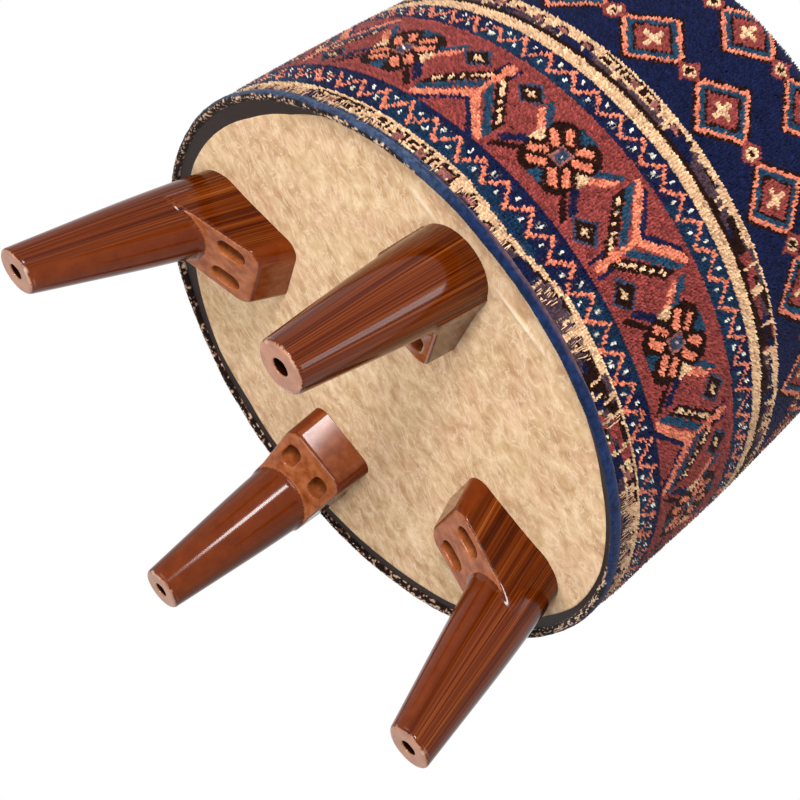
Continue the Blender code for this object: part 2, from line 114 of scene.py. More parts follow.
def wavyNoise(along, across, cells, seed):
    # soft random patches between 0 and 1 that close up after one turn; along runs from 0 to 1
    table = np.random.default_rng(seed).random(cells)
    x = np.mod(along, 1.0) * cells[0]
    y = np.mod(across, 1.0) * cells[1]
    left, low = np.floor(x).astype(int), np.floor(y).astype(int)
    shareX, shareY = x - left, y - low
    shareX = shareX * shareX * (3 - 2 * shareX)
    shareY = shareY * shareY * (3 - 2 * shareY)
    left, low = left % cells[0], low % cells[1]
    right, high = (left + 1) % cells[0], (low + 1) % cells[1]
    bottom = table[left, low] * (1 - shareX) + table[right, low] * shareX
    top = table[left, high] * (1 - shareX) + table[right, high] * shareX
    return bottom * (1 - shareY) + top * shareY


# small helpers for materials

def startMaterial(name, **sockets):
    material = bpy.data.materials.new(name)
    material.use_nodes = True
    shader = material.node_tree.nodes["Principled BSDF"]
    for socket, value in sockets.items():
        shader.inputs[socket.replace("_", " ")].default_value = value
    return material, shader


def addNode(material, kind, inputs=None, **settings):
    node = material.node_tree.nodes.new(kind)
    for key, value in settings.items():
        setattr(node, key, value)
    for key, value in (inputs or {}).items():
        if isinstance(value, bpy.types.NodeSocket):
            material.node_tree.links.new(value, node.inputs[key])
        else:
            node.inputs[key].default_value = value
    return node


def joinSocket(material, output, target):
    material.node_tree.links.new(output, target)


def objectPlace(material, scale=(1, 1, 1), turn=(0, 0, 0)):
    spot = addNode(material, "ShaderNodeTexCoord").outputs["Object"]
    turned = addNode(material, "ShaderNodeMapping", {"Vector": spot, "Rotation": turn}).outputs["Vector"]
    return addNode(material, "ShaderNodeMapping", {"Vector": turned, "Scale": scale}).outputs["Vector"]


def noise(material, place, scale, detail=3.0, roughness=0.5, distortion=0.0):
    inputs = {"Vector": place, "Scale": scale, "Detail": detail, "Roughness": roughness}
    inputs["Distortion"] = distortion
    return addNode(material, "ShaderNodeTexNoise", inputs).outputs["Fac"]


def ramp(material, value, stops):
    node = addNode(material, "ShaderNodeValToRGB", {"Fac": value})
    elements = node.color_ramp.elements
    while len(elements) < len(stops):
        elements.new(1.0)
    for element, (place, colour) in zip(elements, stops):
        element.position = place
        element.color = (*colour, 1.0)
    return node.outputs["Color"]


def blendColour(material, share, first, second, mode="MIX"):
    node = addNode(material, "ShaderNodeMix", data_type="RGBA", blend_type=mode)
    for socket, value in ((node.inputs[0], share), (node.inputs[6], first), (node.inputs[7], second)):
        if isinstance(value, bpy.types.NodeSocket):
            joinSocket(material, value, socket)
        else:
            socket.default_value = value if socket == node.inputs[0] else (*value, 1.0)
    return node.outputs[2]


def figure(material, operation, first, second=0.0):
    node = addNode(material, "ShaderNodeMath", operation=operation)
    for socket, value in zip(node.inputs, (first, second)):
        if isinstance(value, bpy.types.NodeSocket):
            joinSocket(material, value, socket)
        else:
            socket.default_value = value
    return node.outputs[0]


def attribute(material, name, output="Color"):
    return addNode(material, "ShaderNodeAttribute", attribute_name=name).outputs[output]


def bump(material, height, strength, distance):
    return addNode(
        material, "ShaderNodeBump", {"Height": height, "Strength": strength, "Distance": distance}
    ).outputs["Normal"]


# camera, floor and light

cameraView = {
    "place": (0.1337, -0.7915, -0.2983),
    "azimuth": 96.66,                          # of the line of sight, degrees from +X
    "elevation": 31.203,                       # it looks up at the underside
    "roll": 52.688,
    "lens": 67.416,
    "shift": (-0.1029, -0.0182),
}


def addCamera():
    azimuth, elevation, roll = (math.radians(cameraView[key]) for key in ("azimuth", "elevation", "roll"))
    level = math.cos(elevation)
    forward = Vector((level * math.cos(azimuth), level * math.sin(azimuth), math.sin(elevation)))
    side = forward.cross(Vector((0, 0, 1))).normalized()
    lift = side.cross(forward)
    right = side * math.cos(roll) + lift * math.sin(roll)
    up = lift * math.cos(roll) - side * math.sin(roll)
    data = bpy.data.cameras.new("photoCamera")
    data.sensor_width = 36.0
    data.lens = cameraView["lens"]
    data.shift_x, data.shift_y = cameraView["shift"]
    camera = bpy.data.objects.new("photoCamera", data)
    bpy.context.scene.collection.objects.link(camera)
    turn = Matrix((right, up, -forward)).transposed().to_4x4()
    camera.matrix_world = Matrix.Translation(cameraView["place"]) @ turn
    bpy.context.scene.camera = camera


stage = {
    "floorSize": 6.0,
    "floorFade": (0.7, 1.7),                   # from here on the floor fades into the backdrop
    "floorGap": 0.0006,                        # it lies this far below the feet, whose ends it would hide
    "floorColour": (0.86, 0.85, 0.83),
    "fillStrength": 0.42,                      # light from all round; the camera and mirrors see white
    # name: place, aimed at, width, height, watts, seen in gloss
    "softboxes": {
        "window": ((-0.25, -1.771, -0.381), (0.0, 0.085, 0.115), 0.34, 0.48, 30.0, True),
        "underLamp": ((-0.1, -0.5, -1.25), (0.0, 0.0, 0.13), 0.55, 0.55, 9.6, True),
        "sideLamp": ((0.74, -0.68, 0.86), (0.0, -0.17, 0.06), 0.24, 0.46, 2.6, True),
        "frontLamp": ((0.7, -2.1, 1.0), (0.0, -0.1, 0.2), 0.9, 0.9, 17.0, False),
        "topLamp": ((-0.5, -0.9, 1.6), (0.0, 0.0, 0.25), 1.2, 1.2, 13.0, False),
        "backLamp": ((0.9, 1.1, 1.2), (0.0, 0.0, 0.25), 1.0, 1.0, 12.0, False),
        "leftLamp": ((-1.4, 0.7, 0.8), (0.0, 0.0, 0.22), 1.0, 1.0, 14.0, False),
    },
}


def addBackdrop():
    world = bpy.data.worlds.new("studio")
    world.use_nodes = True
    bpy.context.scene.world = world
    backdrop = world.node_tree.nodes["Background"]
    backdrop.inputs["Color"].default_value = (1, 1, 1, 1)
    rays = addNode(world, "ShaderNodeLightPath").outputs
    seen = figure(world, "MAXIMUM", rays["Is Camera Ray"], rays["Is Glossy Ray"])
    seen = figure(world, "MAXIMUM", seen, rays["Is Transmission Ray"])
    levels = {"Value": seen, "To Min": stage["fillStrength"], "To Max": 1.0}
    level = addNode(world, "ShaderNodeMapRange", levels).outputs["Result"]
    joinSocket(world, level, backdrop.inputs["Strength"])
    bpy.context.scene.view_settings.view_transform = "Standard"


def addFloor():
    # the photograph is taken from below the floor, so only a look from above meets it
    material, shader = startMaterial("paleFloor", Roughness=0.9)
    shader.inputs["Base Color"].default_value = (*stage["floorColour"], 1)
    clear = addNode(material, "ShaderNodeBsdfTransparent").outputs[0]
    lower = addNode(material, "ShaderNodeNewGeometry").outputs["Backfacing"]
    looking = addNode(material, "ShaderNodeLightPath").outputs["Is Camera Ray"]
    solid = figure(material, "SUBTRACT", looking, lower)
    place = addNode(material, "ShaderNodeTexCoord").outputs["Object"]
    away = addNode(material, "ShaderNodeVectorMath", {0: place}, operation="LENGTH").outputs["Value"]
    near, far = stage["floorFade"]
    fading = {"Value": away, "From Min": near, "From Max": far, "To Min": 1.0, "To Max": 0.0}
    fade = addNode(material, "ShaderNodeMapRange", fading, interpolation_type="SMOOTHSTEP")
    solid = figure(material, "MULTIPLY", solid, fade.outputs["Result"])
    either = addNode(material, "ShaderNodeMixShader", {0: solid, 1: clear, 2: shader.outputs[0]})
    joinSocket(material, either.outputs[0], material.node_tree.nodes["Material Output"].inputs["Surface"])
    half = stage["floorSize"] / 2
    mesh = bpy.data.meshes.new("floor")
    corners = [(-half, -half, 0), (half, -half, 0), (half, half, 0), (-half, half, 0)]
    mesh.from_pydata(corners, [], [(0, 1, 2, 3)])
    mesh.transform(Matrix.Translation((0, 0, -stage["floorGap"])))
    mesh.materials.append(material)
    floor = bpy.data.objects.new("floor", mesh)
    bpy.context.scene.collection.objects.link(floor)


def addLamps():
    for name, (spot, aim, width, height, watts, inGloss) in stage["softboxes"].items():
        light = bpy.data.lights.new(name, "AREA")
        light.shape = "RECTANGLE"
        light.size, light.size_y, light.energy = width, height, watts
        lamp = bpy.data.objects.new(name, light)
        lamp.location = spot
        lamp.visible_glossy = inGloss
        lamp.rotation_euler = (Vector(aim) - Vector(spot)).to_track_quat("-Z", "Y").to_euler()
        bpy.context.scene.collection.objects.link(lamp)
    print("stage lit by", len(stage["softboxes"]), "lamps")


# legs: one moulding of a splayed cone and a screw block, all in millimetres below the underside

legForm = {
    "height": 130.0,
    "reach": 32.8,                             # how far out the tip stands
    "rootRadius": 25.7,
    "collar": 34.0,
    "draft": 0.035,
    "collarEase": 2.6,                         # how gently the collar runs into the cone
    "tipRadius": 15.0,
    "blockLength": 61.5,
    "blockHalfWidth": 27.6,
    "cornerRadius": 10.0,
    "endDraft": 0.115,
    "rootNarrowing": 0.5,                      # the block is this much narrower than the cone at its root
    "blockOverlap": 4.0,                       # and reaches this far past the cone's middle
    "faceDepth": 34.2,
    "faceSlope": 0.22,
    "slotSetback": 33.5,
    "slotSpacing": 27.0,
    "slotWidth": 12.0,
    "slotLength": 20.0,
    "slotFloor": 7.0,
    "tipHoleRadius": 5.0,
    "tipHoleDepth": 12.0,
    "edgeRound": 2.4,
    "rootFillet": 3.5,
    "slotRound": 1.4,
    "slotFloorRound": 1.0,
    "holeRound": 0.8,
    "shadeReach": 0.3,                         # the surface is shaded smooth over this distance
    "sink": 0.8,                               # the root is pressed this far into the suede
    "grain": 0.85,                             # size of the mesh's faces
    "evenRounds": 3,
    "printEnd": 45.0,                          # the print thins out this far along the block
    "printFade": 9.0,
    "printTurn": (0.35, 0.8),                  # and where the surface turns inward by this much
    "endReflection": 0.5,                          # how far the block's end wall that faces the middle is lightened towards the bare colour, a painted reflection of the suede
    "circle": 143.8,
    "settings": {"left": (178.5, -5.0), "front": (269.5, 0.0), "right": (4.0, -3.0), "back": (89.7, 3.0)},
}


def softMin(first, second, blend):
    near = np.maximum(blend - np.abs(first - second), 0.0) / blend
    return np.minimum(first, second) - near * near * blend / 4


def softMax(first, second, blend):
    return -softMin(-first, -second, blend)


def legShapes(points):
    # distances to the leg's simple shapes, below 0 inside each
    form = legForm
    x, y, depth = points[:, 0], points[:, 1], -points[:, 2]
    lean = form["reach"] / form["height"]
    collarEnd = form["rootRadius"] - form["collar"] * form["draft"]
    taper = (collarEnd - form["tipRadius"]) / (form["height"] - form["collar"])
    straight = form["rootRadius"] - depth * form["draft"]
    tapered = collarEnd - (depth - form["collar"]) * taper
    cone = np.hypot(x - lean * depth, y) - softMin(straight, tapered, form["collarEase"])

    shrink = 1 - depth * form["draft"] / form["blockHalfWidth"]
    plan = x - lean * depth
    plan = np.where(plan < 0, plan / (1 - form["endDraft"] * depth / form["blockLength"]), plan)
    corner = form["cornerRadius"]
    rootWidth = form["rootRadius"] - form["rootNarrowing"]
    widening = np.clip(-plan / form["blockLength"], 0, 1)
    halfWidth = rootWidth + (form["blockHalfWidth"] - rootWidth) * widening
    past = -plan - (form["blockLength"] - corner)
    beside = np.abs(y / shrink) - (halfWidth - corner)
    wall = np.hypot(np.maximum(past, 0), np.maximum(beside, 0)) - corner
    wall = wall + np.minimum(np.maximum(past, beside), 0)
    wall = np.maximum(wall, plan - form["blockOverlap"])
    face = (depth - form["faceDepth"] - form["faceSlope"] * x) / math.hypot(1, form["faceSlope"])

    slot = np.full(len(points), 99.0)
    straightHalf = (form["slotLength"] - form["slotWidth"]) / 2
    for side in (-1, 1):
        runX = np.maximum(np.abs(x + form["slotSetback"]) - straightHalf, 0)
        ring = np.hypot(runX, y - side * form["slotSpacing"] / 2) - form["slotWidth"] / 2
        slot = np.minimum(slot, softMax(ring, form["slotFloor"] - depth, form["slotFloorRound"]))
    hole = np.hypot(x - form["reach"], y) - form["tipHoleRadius"]
    hole = np.maximum(hole, form["height"] - form["tipHoleDepth"] - depth)
    return cone, wall, face, slot, hole, depth


def legGrain(points):
    # coordinates that stay the same along a printed line, on the cone and on the block's drafted walls
    form = legForm
    cone, wall, face, _, _, depth = legShapes(points)
    y = points[:, 1]
    plan = points[:, 0] - form["reach"] / form["height"] * depth
    girth = (np.hypot(plan, y) - cone) / form["rootRadius"]
    onCone = cone < np.maximum(wall, face)
    shrink = np.where(onCone, girth, 1 - depth * form["draft"] / form["blockHalfWidth"])
    drawn = np.where(onCone, girth, 1 - form["endDraft"] * depth / form["blockLength"])
    return np.stack([plan / drawn, y / shrink, depth], axis=-1)


def legDistance(points):
    form = legForm
    cone, wall, face, slot, hole, depth = legShapes(points)
    block = softMax(wall, face, form["edgeRound"])
    cone = softMax(cone, depth - form["height"], form["edgeRound"])
    body = softMin(cone, block, form["rootFillet"])
    body = softMax(body, -slot, form["slotRound"])
    body = softMax(body, -hole, form["holeRound"])
    return np.maximum(body, -depth - form["sink"])


def slopeOf(points, distance, reach=0.02):
    slopes = [distance(points + step) - distance(points - step) for step in np.eye(3) * reach]
    return np.stack(slopes, axis=1) / (2 * reach)


def settleOn(points, distance, rounds=8, stride=0.6):
    # moves points onto the surface where the distance is 0
    for _ in range(rounds):
        slope = slopeOf(points, distance)
        move = (distance(points) / np.maximum((slope ** 2).sum(axis=1), 0.25))[:, None] * slope
        length = np.linalg.norm(move, axis=1, keepdims=True)
        points = points - move * np.minimum(1, stride / np.maximum(length, 1e-9))
    return points


def evenOut(points, edges):
    # draws each point half way to the middle of its neighbours
    total = np.zeros_like(points)
    count = np.zeros(len(points))
    for start, end in ((0, 1), (1, 0)):
        np.add.at(total, edges[:, start], points[edges[:, end]])
        np.add.at(count, edges[:, start], 1)
    return (points + total / count[:, None]) / 2


def woodPrintPlastic():
    material, shader = startMaterial("woodPrintPlastic", Specular_IOR_Level=0.17)
    along = attribute(material, "grain", "Vector")
    wide = addNode(material, "ShaderNodeMapping", {"Vector": along, "Scale": (0.14, 0.14, 0.003)})
    thin = addNode(material, "ShaderNodeMapping", {"Vector": along, "Scale": (1.0, 1.0, 0.005)})
    bands = figure(material, "MULTIPLY", noise(material, wide.outputs[0], 1.0, 2.0, 0.5, 0.15), 0.36)
    hairs = figure(material, "MULTIPLY", noise(material, thin.outputs[0], 1.0, 2.0, 0.6), 0.64)
    grain = figure(material, "ADD", bands, hairs)
    printed = ramp(
        material,
        grain,
        [
            (0.34, srgb(42, 7, 0)),
            (0.43, srgb(68, 19, 0)),
            (0.51, srgb(88, 33, 2)),
            (0.59, srgb(107, 46, 7)),
            (0.68, srgb(141, 77, 31)),
        ],
    )
    cloud = noise(material, objectPlace(material), 120.0, 5.0, 0.6)
    # the print ends raggedly, line by line, and leaves plain plastic on the inward sides
    lines = figure(material, "MULTIPLY", figure(material, "SUBTRACT", grain, 0.5), -1.4)
    ended = figure(material, "ADD", attribute(material, "plainSide", "Fac"), lines)
    share = addNode(material, "ShaderNodeMapRange", {"Value": ended, "From Min": 0.3, "From Max": 0.7})
    plain = ramp(material, cloud, [(0.3, srgb(95, 35, 3)), (0.7, srgb(109, 45, 8))])
    printed = blendColour(material, share.outputs["Result"], printed, plain)
    bare = ramp(material, cloud, [(0.3, srgb(130, 60, 20)), (0.7, srgb(180, 106, 62))])
    colour = blendColour(material, attribute(material, "bareFace", "Fac"), printed, bare)
    # painted shade: the inside of the tip hole is darkened
    colour = blendColour(material, attribute(material, "paintedHoleShade", "Fac"), colour, srgb(38, 12, 4))
    worn = blendColour(material, attribute(material, "wornRim", "Fac"), colour, srgb(206, 176, 156))
    joinSocket(material, worn, shader.inputs["Base Color"])
    smears = noise(material, objectPlace(material), 45.0, 2.0, 0.5)
    rough = addNode(material, "ShaderNodeMapRange", {"Value": smears, "To Min": 0.08, "To Max": 0.18})
    joinSocket(material, rough.outputs["Result"], shader.inputs["Roughness"])
    return material


def mouldLeg():
    # the CAD leg gives the first mesh; it is brought to the leg's own place, split finely and settled
    form = legForm
    bearing, turn = (math.radians(value) for value in form["settings"]["front"])
    root = Vector((math.cos(bearing), math.sin(bearing), 0)) * form["circle"] / 1000
    place = Matrix.Translation(root + Vector((0, 0, underside))) @ Matrix.Rotation(bearing + turn, 4, "Z")
    rough = bpy.data.objects.new("roughLeg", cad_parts["leg_front"].data.copy())
    rough.data.transform(place.inverted())
    bpy.context.scene.collection.objects.link(rough)
    remesh = rough.modifiers.new("fine", "REMESH")
    remesh.mode = "VOXEL"
    remesh.voxel_size = form["grain"] / 1000
    bpy.context.view_layer.update()
    fine = bpy.data.meshes.new_from_object(rough.evaluated_get(bpy.context.evaluated_depsgraph_get()))
    bpy.data.objects.remove(rough, do_unlink=True)
    points = np.empty(len(fine.vertices) * 3)
    fine.vertices.foreach_get("co", points)
    edges = np.empty(len(fine.edges) * 2, dtype=int)
    fine.edges.foreach_get("vertices", edges)
    edges = edges.reshape(-1, 2)
    points = settleOn(points.reshape(-1, 3) * 1000, legDistance)
    for _ in range(form["evenRounds"]):
        points = settleOn(evenOut(points, edges), legDistance, rounds=3)
    fine.vertices.foreach_set("co", (points / 1000).ravel())
    fine.update()
    return fine, points


def legMarks(points, inward):
    # where the moulding shows something other than the print, and where shade and a reflection are painted
    # on; inward is how far it faces
    #  the pouf's middle, and the small numbers are tolerances in millimetres
    form = legForm
    cone, wall, face, slot, hole, depth = legShapes(points)
    # bare plastic: the slots' face, the tip, and the insides of slots and hole; the end wall that faces the
    # middle is lightened too, a painted reflection of the suede
    onFace = (np.abs(face) < 0.5) & (wall < -0.6) & (cone > 0.8)
    onTip = depth > form["height"] - 0.6
    bareFace = np.where(onFace | onTip | (slot < 0.8) | (hole < 0.6), 1.0, 0.0)
    onEnd = (wall > -1.0) & (face < -1.0) & (cone > 6.0)
    paintedLight = np.clip((inward - 0.8) / 0.15, 0, 1) * onEnd
    # plain plastic, which the print doesn't reach
    start, full = form["printTurn"]
    lean = points[:, 0] + form["reach"] / form["height"] * points[:, 2]
    pastPrint = (-lean - form["printEnd"]) / form["printFade"]
    # chipped rim of the tip
    tipRim = np.exp(-(((depth - form["height"] + 0.5) / 1.2) ** 2)) * (cone > -2.2)
    roundTip = np.arctan2(points[:, 1], points[:, 0] - form["reach"]) / math.tau
    chips = np.clip(wavyNoise(roundTip, depth / 9, (23, 9), 5) * 3 - 2.0, 0, 0.8)
    return {
        # the end wall facing the middle takes half the bare colour: painted reflection of the pale suede
        "bareFace": np.maximum(bareFace, form["endReflection"] * paintedLight),
        "plainSide": np.clip(np.maximum((inward - start) / (full - start), pastPrint), 0, 1),
        # painted shade inside the tip hole
        "paintedHoleShade": np.clip((0.9 - hole) / 0.8, 0, 1) * (depth < form["height"] - 0.8),
        "wornRim": np.maximum(tipRim * chips, 0.3 * onTip),
    }


def addLegs():
    form = legForm
    fine, points = mouldLeg()
    normals = unit(slopeOf(points, legDistance, form["shadeReach"]))
    marks = legMarks(points, -normals[:, 0])
    grain = legGrain(points)
    circle = form["circle"] / 1000
    fine.materials.clear()
    fine.materials.append(woodPrintPlastic())
    fine.shade_smooth()
    fine.normals_split_custom_set_from_vertices(normals.tolist())
    for name, (bearing, turn) in form["settings"].items():
        angle = math.radians(bearing)
        leg = bpy.data.objects.new(f"mouldedLeg_{name}", fine.copy())
        bpy.context.scene.collection.objects.link(leg)
        leg.location = (circle * math.cos(angle), circle * math.sin(angle), underside)
        leg.rotation_euler.z = angle + math.radians(turn)
        printed = leg.data.attributes.new("grain", "FLOAT_VECTOR", "POINT")
        printed.data.foreach_set("vector", (grain + dice.random(3) * 500).astype(np.float32).ravel())
        for layerName, values in marks.items():
            markPoints(leg, layerName, values)
        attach(leg, "root")
        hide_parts(f"leg_{name}")
    print("legs moulded,", len(fine.polygons), "faces each")


# carpet: dyed wools and the knotted pattern, in millimetres along the side and above the underside

woolColours = {
    "maroon": srgb(144, 64, 60),
    "navy": srgb(18, 26, 62),
    "petrol": srgb(20, 46, 74),
    "teal": srgb(35, 67, 91),
    "salmon": srgb(232, 132, 102),
    "cream": srgb(234, 188, 147),
    "brown": srgb(34, 11, 6),
    "slate": srgb(58, 68, 92),
    "plum": srgb(78, 58, 67),
    "rose": srgb(150, 92, 86),
    "white": srgb(232, 226, 208),
    "edgeBlue": srgb(54, 70, 98),
    "deepBlue": srgb(19, 37, 74),
}
woolNames = list(woolColours)
woolTable = np.array([woolColours[name] for name in woolNames])

border = {
    "turnRadius": 189.5,                       # arc lengths are counted at this radius
    "rosetteBearing": -92.3,                   # of one rosette's middle, degrees
    "rosettes": 10,
    "guardMotifs": 68,
    "fieldLozenges": 20,
    "fieldRows": (180.0, 240.0),               # heights of their middles
    "guardTop": 15.2,                          # mean height of the cream guard stripe's edge
    "guardDip": (4.2, -87.0, 6.5),             # depth, bearing and width of its dip
    "guardRise": 3.6,                          # and its rise beside the dip
    "guardSway": 0.5,
    "middle": 68.1,                            # height of the main border's middle
    "lowerNavyTop": 36.5,
    "mainTop": 103.0,
    "upperNavyTop": 122.8,
    "stripeTop": 131.0,
    "secondGuardBase": 134.0,
    "secondGuardShift": 300.0,                 # its motifs don't stand over the first guard's
    "fieldBase": 149.0,
    # height of its middle, swing, crests in one turn, and where one crest stands
    "lowerZigzag": (25.5, 6.6, 66, -39.4),
    "upperZigzag": (113.2, 6.2, 65, 0.0),
}
turnLength = math.tau * border["turnRadius"]


def creamEdge(angle):
    # top of the cream guard stripe: the carpet's cut edge is sewn on by eye, so it wanders
    degree = np.degrees(angle)
    deep, bearing, width = border["guardDip"]
    dip = deep * np.exp(-(((degree - bearing) / width) ** 2))
    step = np.clip((degree + 82) / 14, 0, 1) * np.clip((70 - degree) / 50, 0, 1)
    rise = border["guardRise"] * step * step * (3 - 2 * step)
    return border["guardTop"] - dip + rise + border["guardSway"] * np.sin(5 * angle + 0.6)


class Weave:
    # colours of the knots, painted one mask over another
    def __init__(self, count):
        self.wool = np.zeros(count, dtype=int)

    def put(self, mask, name):
        self.wool[mask] = woolNames.index(name)


def weaveZigzag(weave, inside, along, height, zigzag):
    # a zigzag line on navy and petrol, with a dot in each of its pockets
    middle, swing, crests, crest = zigzag
    weave.put(inside, "navy")
    turn = along / turnLength
    period = turnLength / crests
    phase = (along - crest) / period
    jog = wavyNoise(turn, 0 * along, (131, 1), 11) - 0.5
    line = middle + swing * (4 * np.abs(np.mod(phase, 1.0) - 0.5) - 1) + jog * 1.8
    dyeLot = wavyNoise(turn, height / 40, (29, 3), 12) + 0.014 * (line - height)
    weave.put(inside & (dyeLot > 0.52), "petrol")
    weave.put(inside & (np.abs(height - line) < 1.9), "salmon")
    offCrest = np.abs(np.mod(phase + 0.5, 1.0) - 0.5) * period
    offValley = np.abs(np.mod(phase, 1.0) - 0.5) * period
    weave.put(inside & (offValley < 1.0) & (np.abs(height - middle - 3.6) < 1.7), "white")
    weave.put(inside & (offCrest < 1.0) & (np.abs(height - middle + 3.6) < 1.7), "white")


def weaveRosette(weave, inside, u, v):
    besideU, besideV = np.abs(u), np.abs(v)
    across, reach = besideV - besideU, besideV + besideU
    # rays that leave the four corners
    upper = inside & (v > 0) & (besideU > 18.5) & (besideU < 29.5)
    weave.put(upper & (np.abs(besideV - 1.2 * besideU + 12.3) < 3.2), "teal")
    weave.put(upper & (np.abs(besideV - 1.2 * besideU + 19.4) < 3.4), "salmon")
    lower = inside & (v < 0) & (besideU > 18.5) & (besideU < 28.5)
    weave.put(lower & (np.abs(besideV - 0.9 * besideU - 0.4) < 2.6), "brown")
    weave.put(lower & (np.abs(besideV - 1.2 * besideU + 15.6) < 3.4), "navy")
    # dark ground of the flower, then its petals in pairs
    weave.put(inside & (besideU < 18.6) & (besideV < 23.2) & (reach < 34), "brown")
    weave.put(inside & (besideV > 15) & (besideV < 23.4) & (besideU < (besideV - 14) * 0.62), "teal")
    weave.put(inside & (besideU > 13.2) & (besideU < 20.6) & (besideV < (besideU - 12) * 0.82), "cream")
    weave.put(inside & (np.abs(across - 7.3) < 3.4) & (reach > 11.5) & (reach < 27), "salmon")
    weave.put(inside & (np.abs(across + 4.6) < 3.4) & (reach > 9.6) & (reach < 25.5), "salmon")
    weave.put(inside & (besideU < 4.0) & (besideV < 5.9), "rose")
    weave.put(inside & (besideU < 3.6) & (besideV < 4.2), "slate")
    weave.put(inside & (besideU < 1.0) & (besideV < 1.0), "white")


def weaveMedallion(weave, inside, u, v):
    besideU = np.abs(u)
    # slanting bars that meet on a stem
    bars = inside & (besideU < 27)
    weave.put(bars & (besideU < 24) & (v > besideU + 8.5) & (v < 32), "navy")
    weave.put(bars & (besideU < 20) & (v > besideU + 13.5) & (v < 32), "maroon")
    weave.put(bars & (np.abs(v - besideU - 5.5) < 3.9) & (v < 31), "salmon")
    weave.put(bars & (np.abs(v - 1.15 * besideU + 5.9) < 3.7), "teal")
    dark = v - 1.237 * besideU + 17.3
    weave.put(bars & (besideU > 2.5) & (np.abs(dark) < 5.3), "brown")
    dashes = (np.abs(dark) < 2.0) & (np.mod(besideU, 4.2) < 2.9)
    weave.put(bars & (besideU > 3.5) & (besideU < 25) & dashes, "cream")
    weave.put(inside & (besideU < 2.2) & (v > -27) & (v < 5), "salmon")
    weave.put(inside & ((u / 3.1) ** 2 + ((v + 11.7) / 4.6) ** 2 < 1), "salmon")
    weave.put(inside & (np.abs(besideU - 4.8) < 1.6) & (v > -28) & (v < -16.5), "navy")
    weave.put(inside & ((u / 3.1) ** 2 + ((v + 21.4) / 5.2) ** 2 < 1), "salmon")
    # a small cross in a dark lozenge on each side of the stem
    du, dv = np.abs(besideU - 19.6), np.abs(v + 18.3)
    lozenge = du / 10.6 + dv / 10.2
    weave.put(inside & (lozenge < 1), "slate")
    weave.put(inside & (lozenge < 0.8), "brown")
    weave.put(inside & (((du < 3.9) & (dv < 1.0)) | ((dv < 2.9) & (du < 1.1))), "cream")


# how the guard stripe is kept or worn, from one bearing to the next on the side the photograph shows
guardStates = ("comb", "tongues", "bars", "tufts", "patches")
guardWear = (
    (-130, -99, "comb"), (-99, -86, "tongues"), (-86, -71, "bars"), (-71, -60, "tufts"),
    (-60, -44, "patches"),
)


def weaveGuard(weave, inside, along, depth, height):
    turn = along / turnLength
    degree = np.degrees(along / border["turnRadius"]) + border["rosetteBearing"]
    state = np.floor(wavyNoise(turn, 0 * along, (34, 1), 29) * 4.999).astype(int)
    for start, end, name in guardWear:
        state[(degree >= start) & (degree < end)] = guardStates.index(name)
    kept = {name: inside & (state == number) for number, name in enumerate(guardStates)}
    pitch = turnLength / border["guardMotifs"]
    u = np.mod(along + 6 * (wavyNoise(turn, 0 * along, (37, 1), 20) - 0.5), pitch)
    ragged = 1.8 * (wavyNoise(turn, depth / 30, (420, 12), 28) - 0.5)
    fringe = wavyNoise(turn, depth / 60, (520, 6), 23)
    grown = wavyNoise(turn, depth / 30, (61, 5), 21)
    weave.put(inside, "plum")
    weave.put(inside & (grown > 0.56), "navy")
    weave.put(inside & (fringe > 0.75), "cream")

    comb = kept["comb"] & (depth < 10.5)
    weave.put(comb, "cream")
    boxed = (depth > 2.6 + ragged) & (depth < 4.2 + ragged) & (u < 13.5)
    boxed |= (depth > 2.6) & (depth < 9.5) & ((np.abs(u - 13.2) < 1.1) | (np.abs(u - 16.6) < 0.9))
    boxed |= (depth > 6.4) & (depth < 9) & (np.abs(u - 5) < 3.4 + ragged)
    weave.put(comb & boxed, "brown")
    weave.put(comb & (u > 6) & (u < 12) & (depth > 4.6 + ragged) & (grown > 0.5), "rose")

    tongues = kept["tongues"] & (depth < 9.5 + ragged)
    weave.put(tongues, "cream")
    motif = np.abs(u - 9) - 0.55 * (depth - 3.8)
    weave.put(tongues & (motif < 2.4) & (depth > 3.8 + ragged), "brown")
    weave.put(tongues & (motif < 1.0) & (depth > 5.4 + ragged), "rose")

    weave.put(kept["bars"] & (depth < 5.2 + ragged) & (u < 14), "brown")
    weave.put(kept["bars"] & (depth < 3.4 + 0.6 * ragged), "cream")
    weave.put(kept["tufts"] & (depth < 6.5 + 7 * (fringe - 0.45)), "cream")
    weave.put(kept["tufts"] & (depth > 6) & (wavyNoise(turn, depth / 30, (90, 9), 22) > 0.66), "brown")
    weave.put(kept["patches"] & (wavyNoise(turn, depth / 30, (110, 7), 25) > 0.5), "brown")
    weave.put(kept["patches"] & (wavyNoise(turn, depth / 30, (130, 8), 26) > 0.62), "maroon")
    weave.put(kept["patches"] & ((fringe > 0.68) | (depth < 2 + ragged)), "cream")
    # the overcast wool climbs up the side here
    climb = 4.6 * np.clip((-96 - degree) / 7, 0, 1) * (degree > -170)
    weave.put(inside & (height < climb + 0.5 * ragged), "edgeBlue")


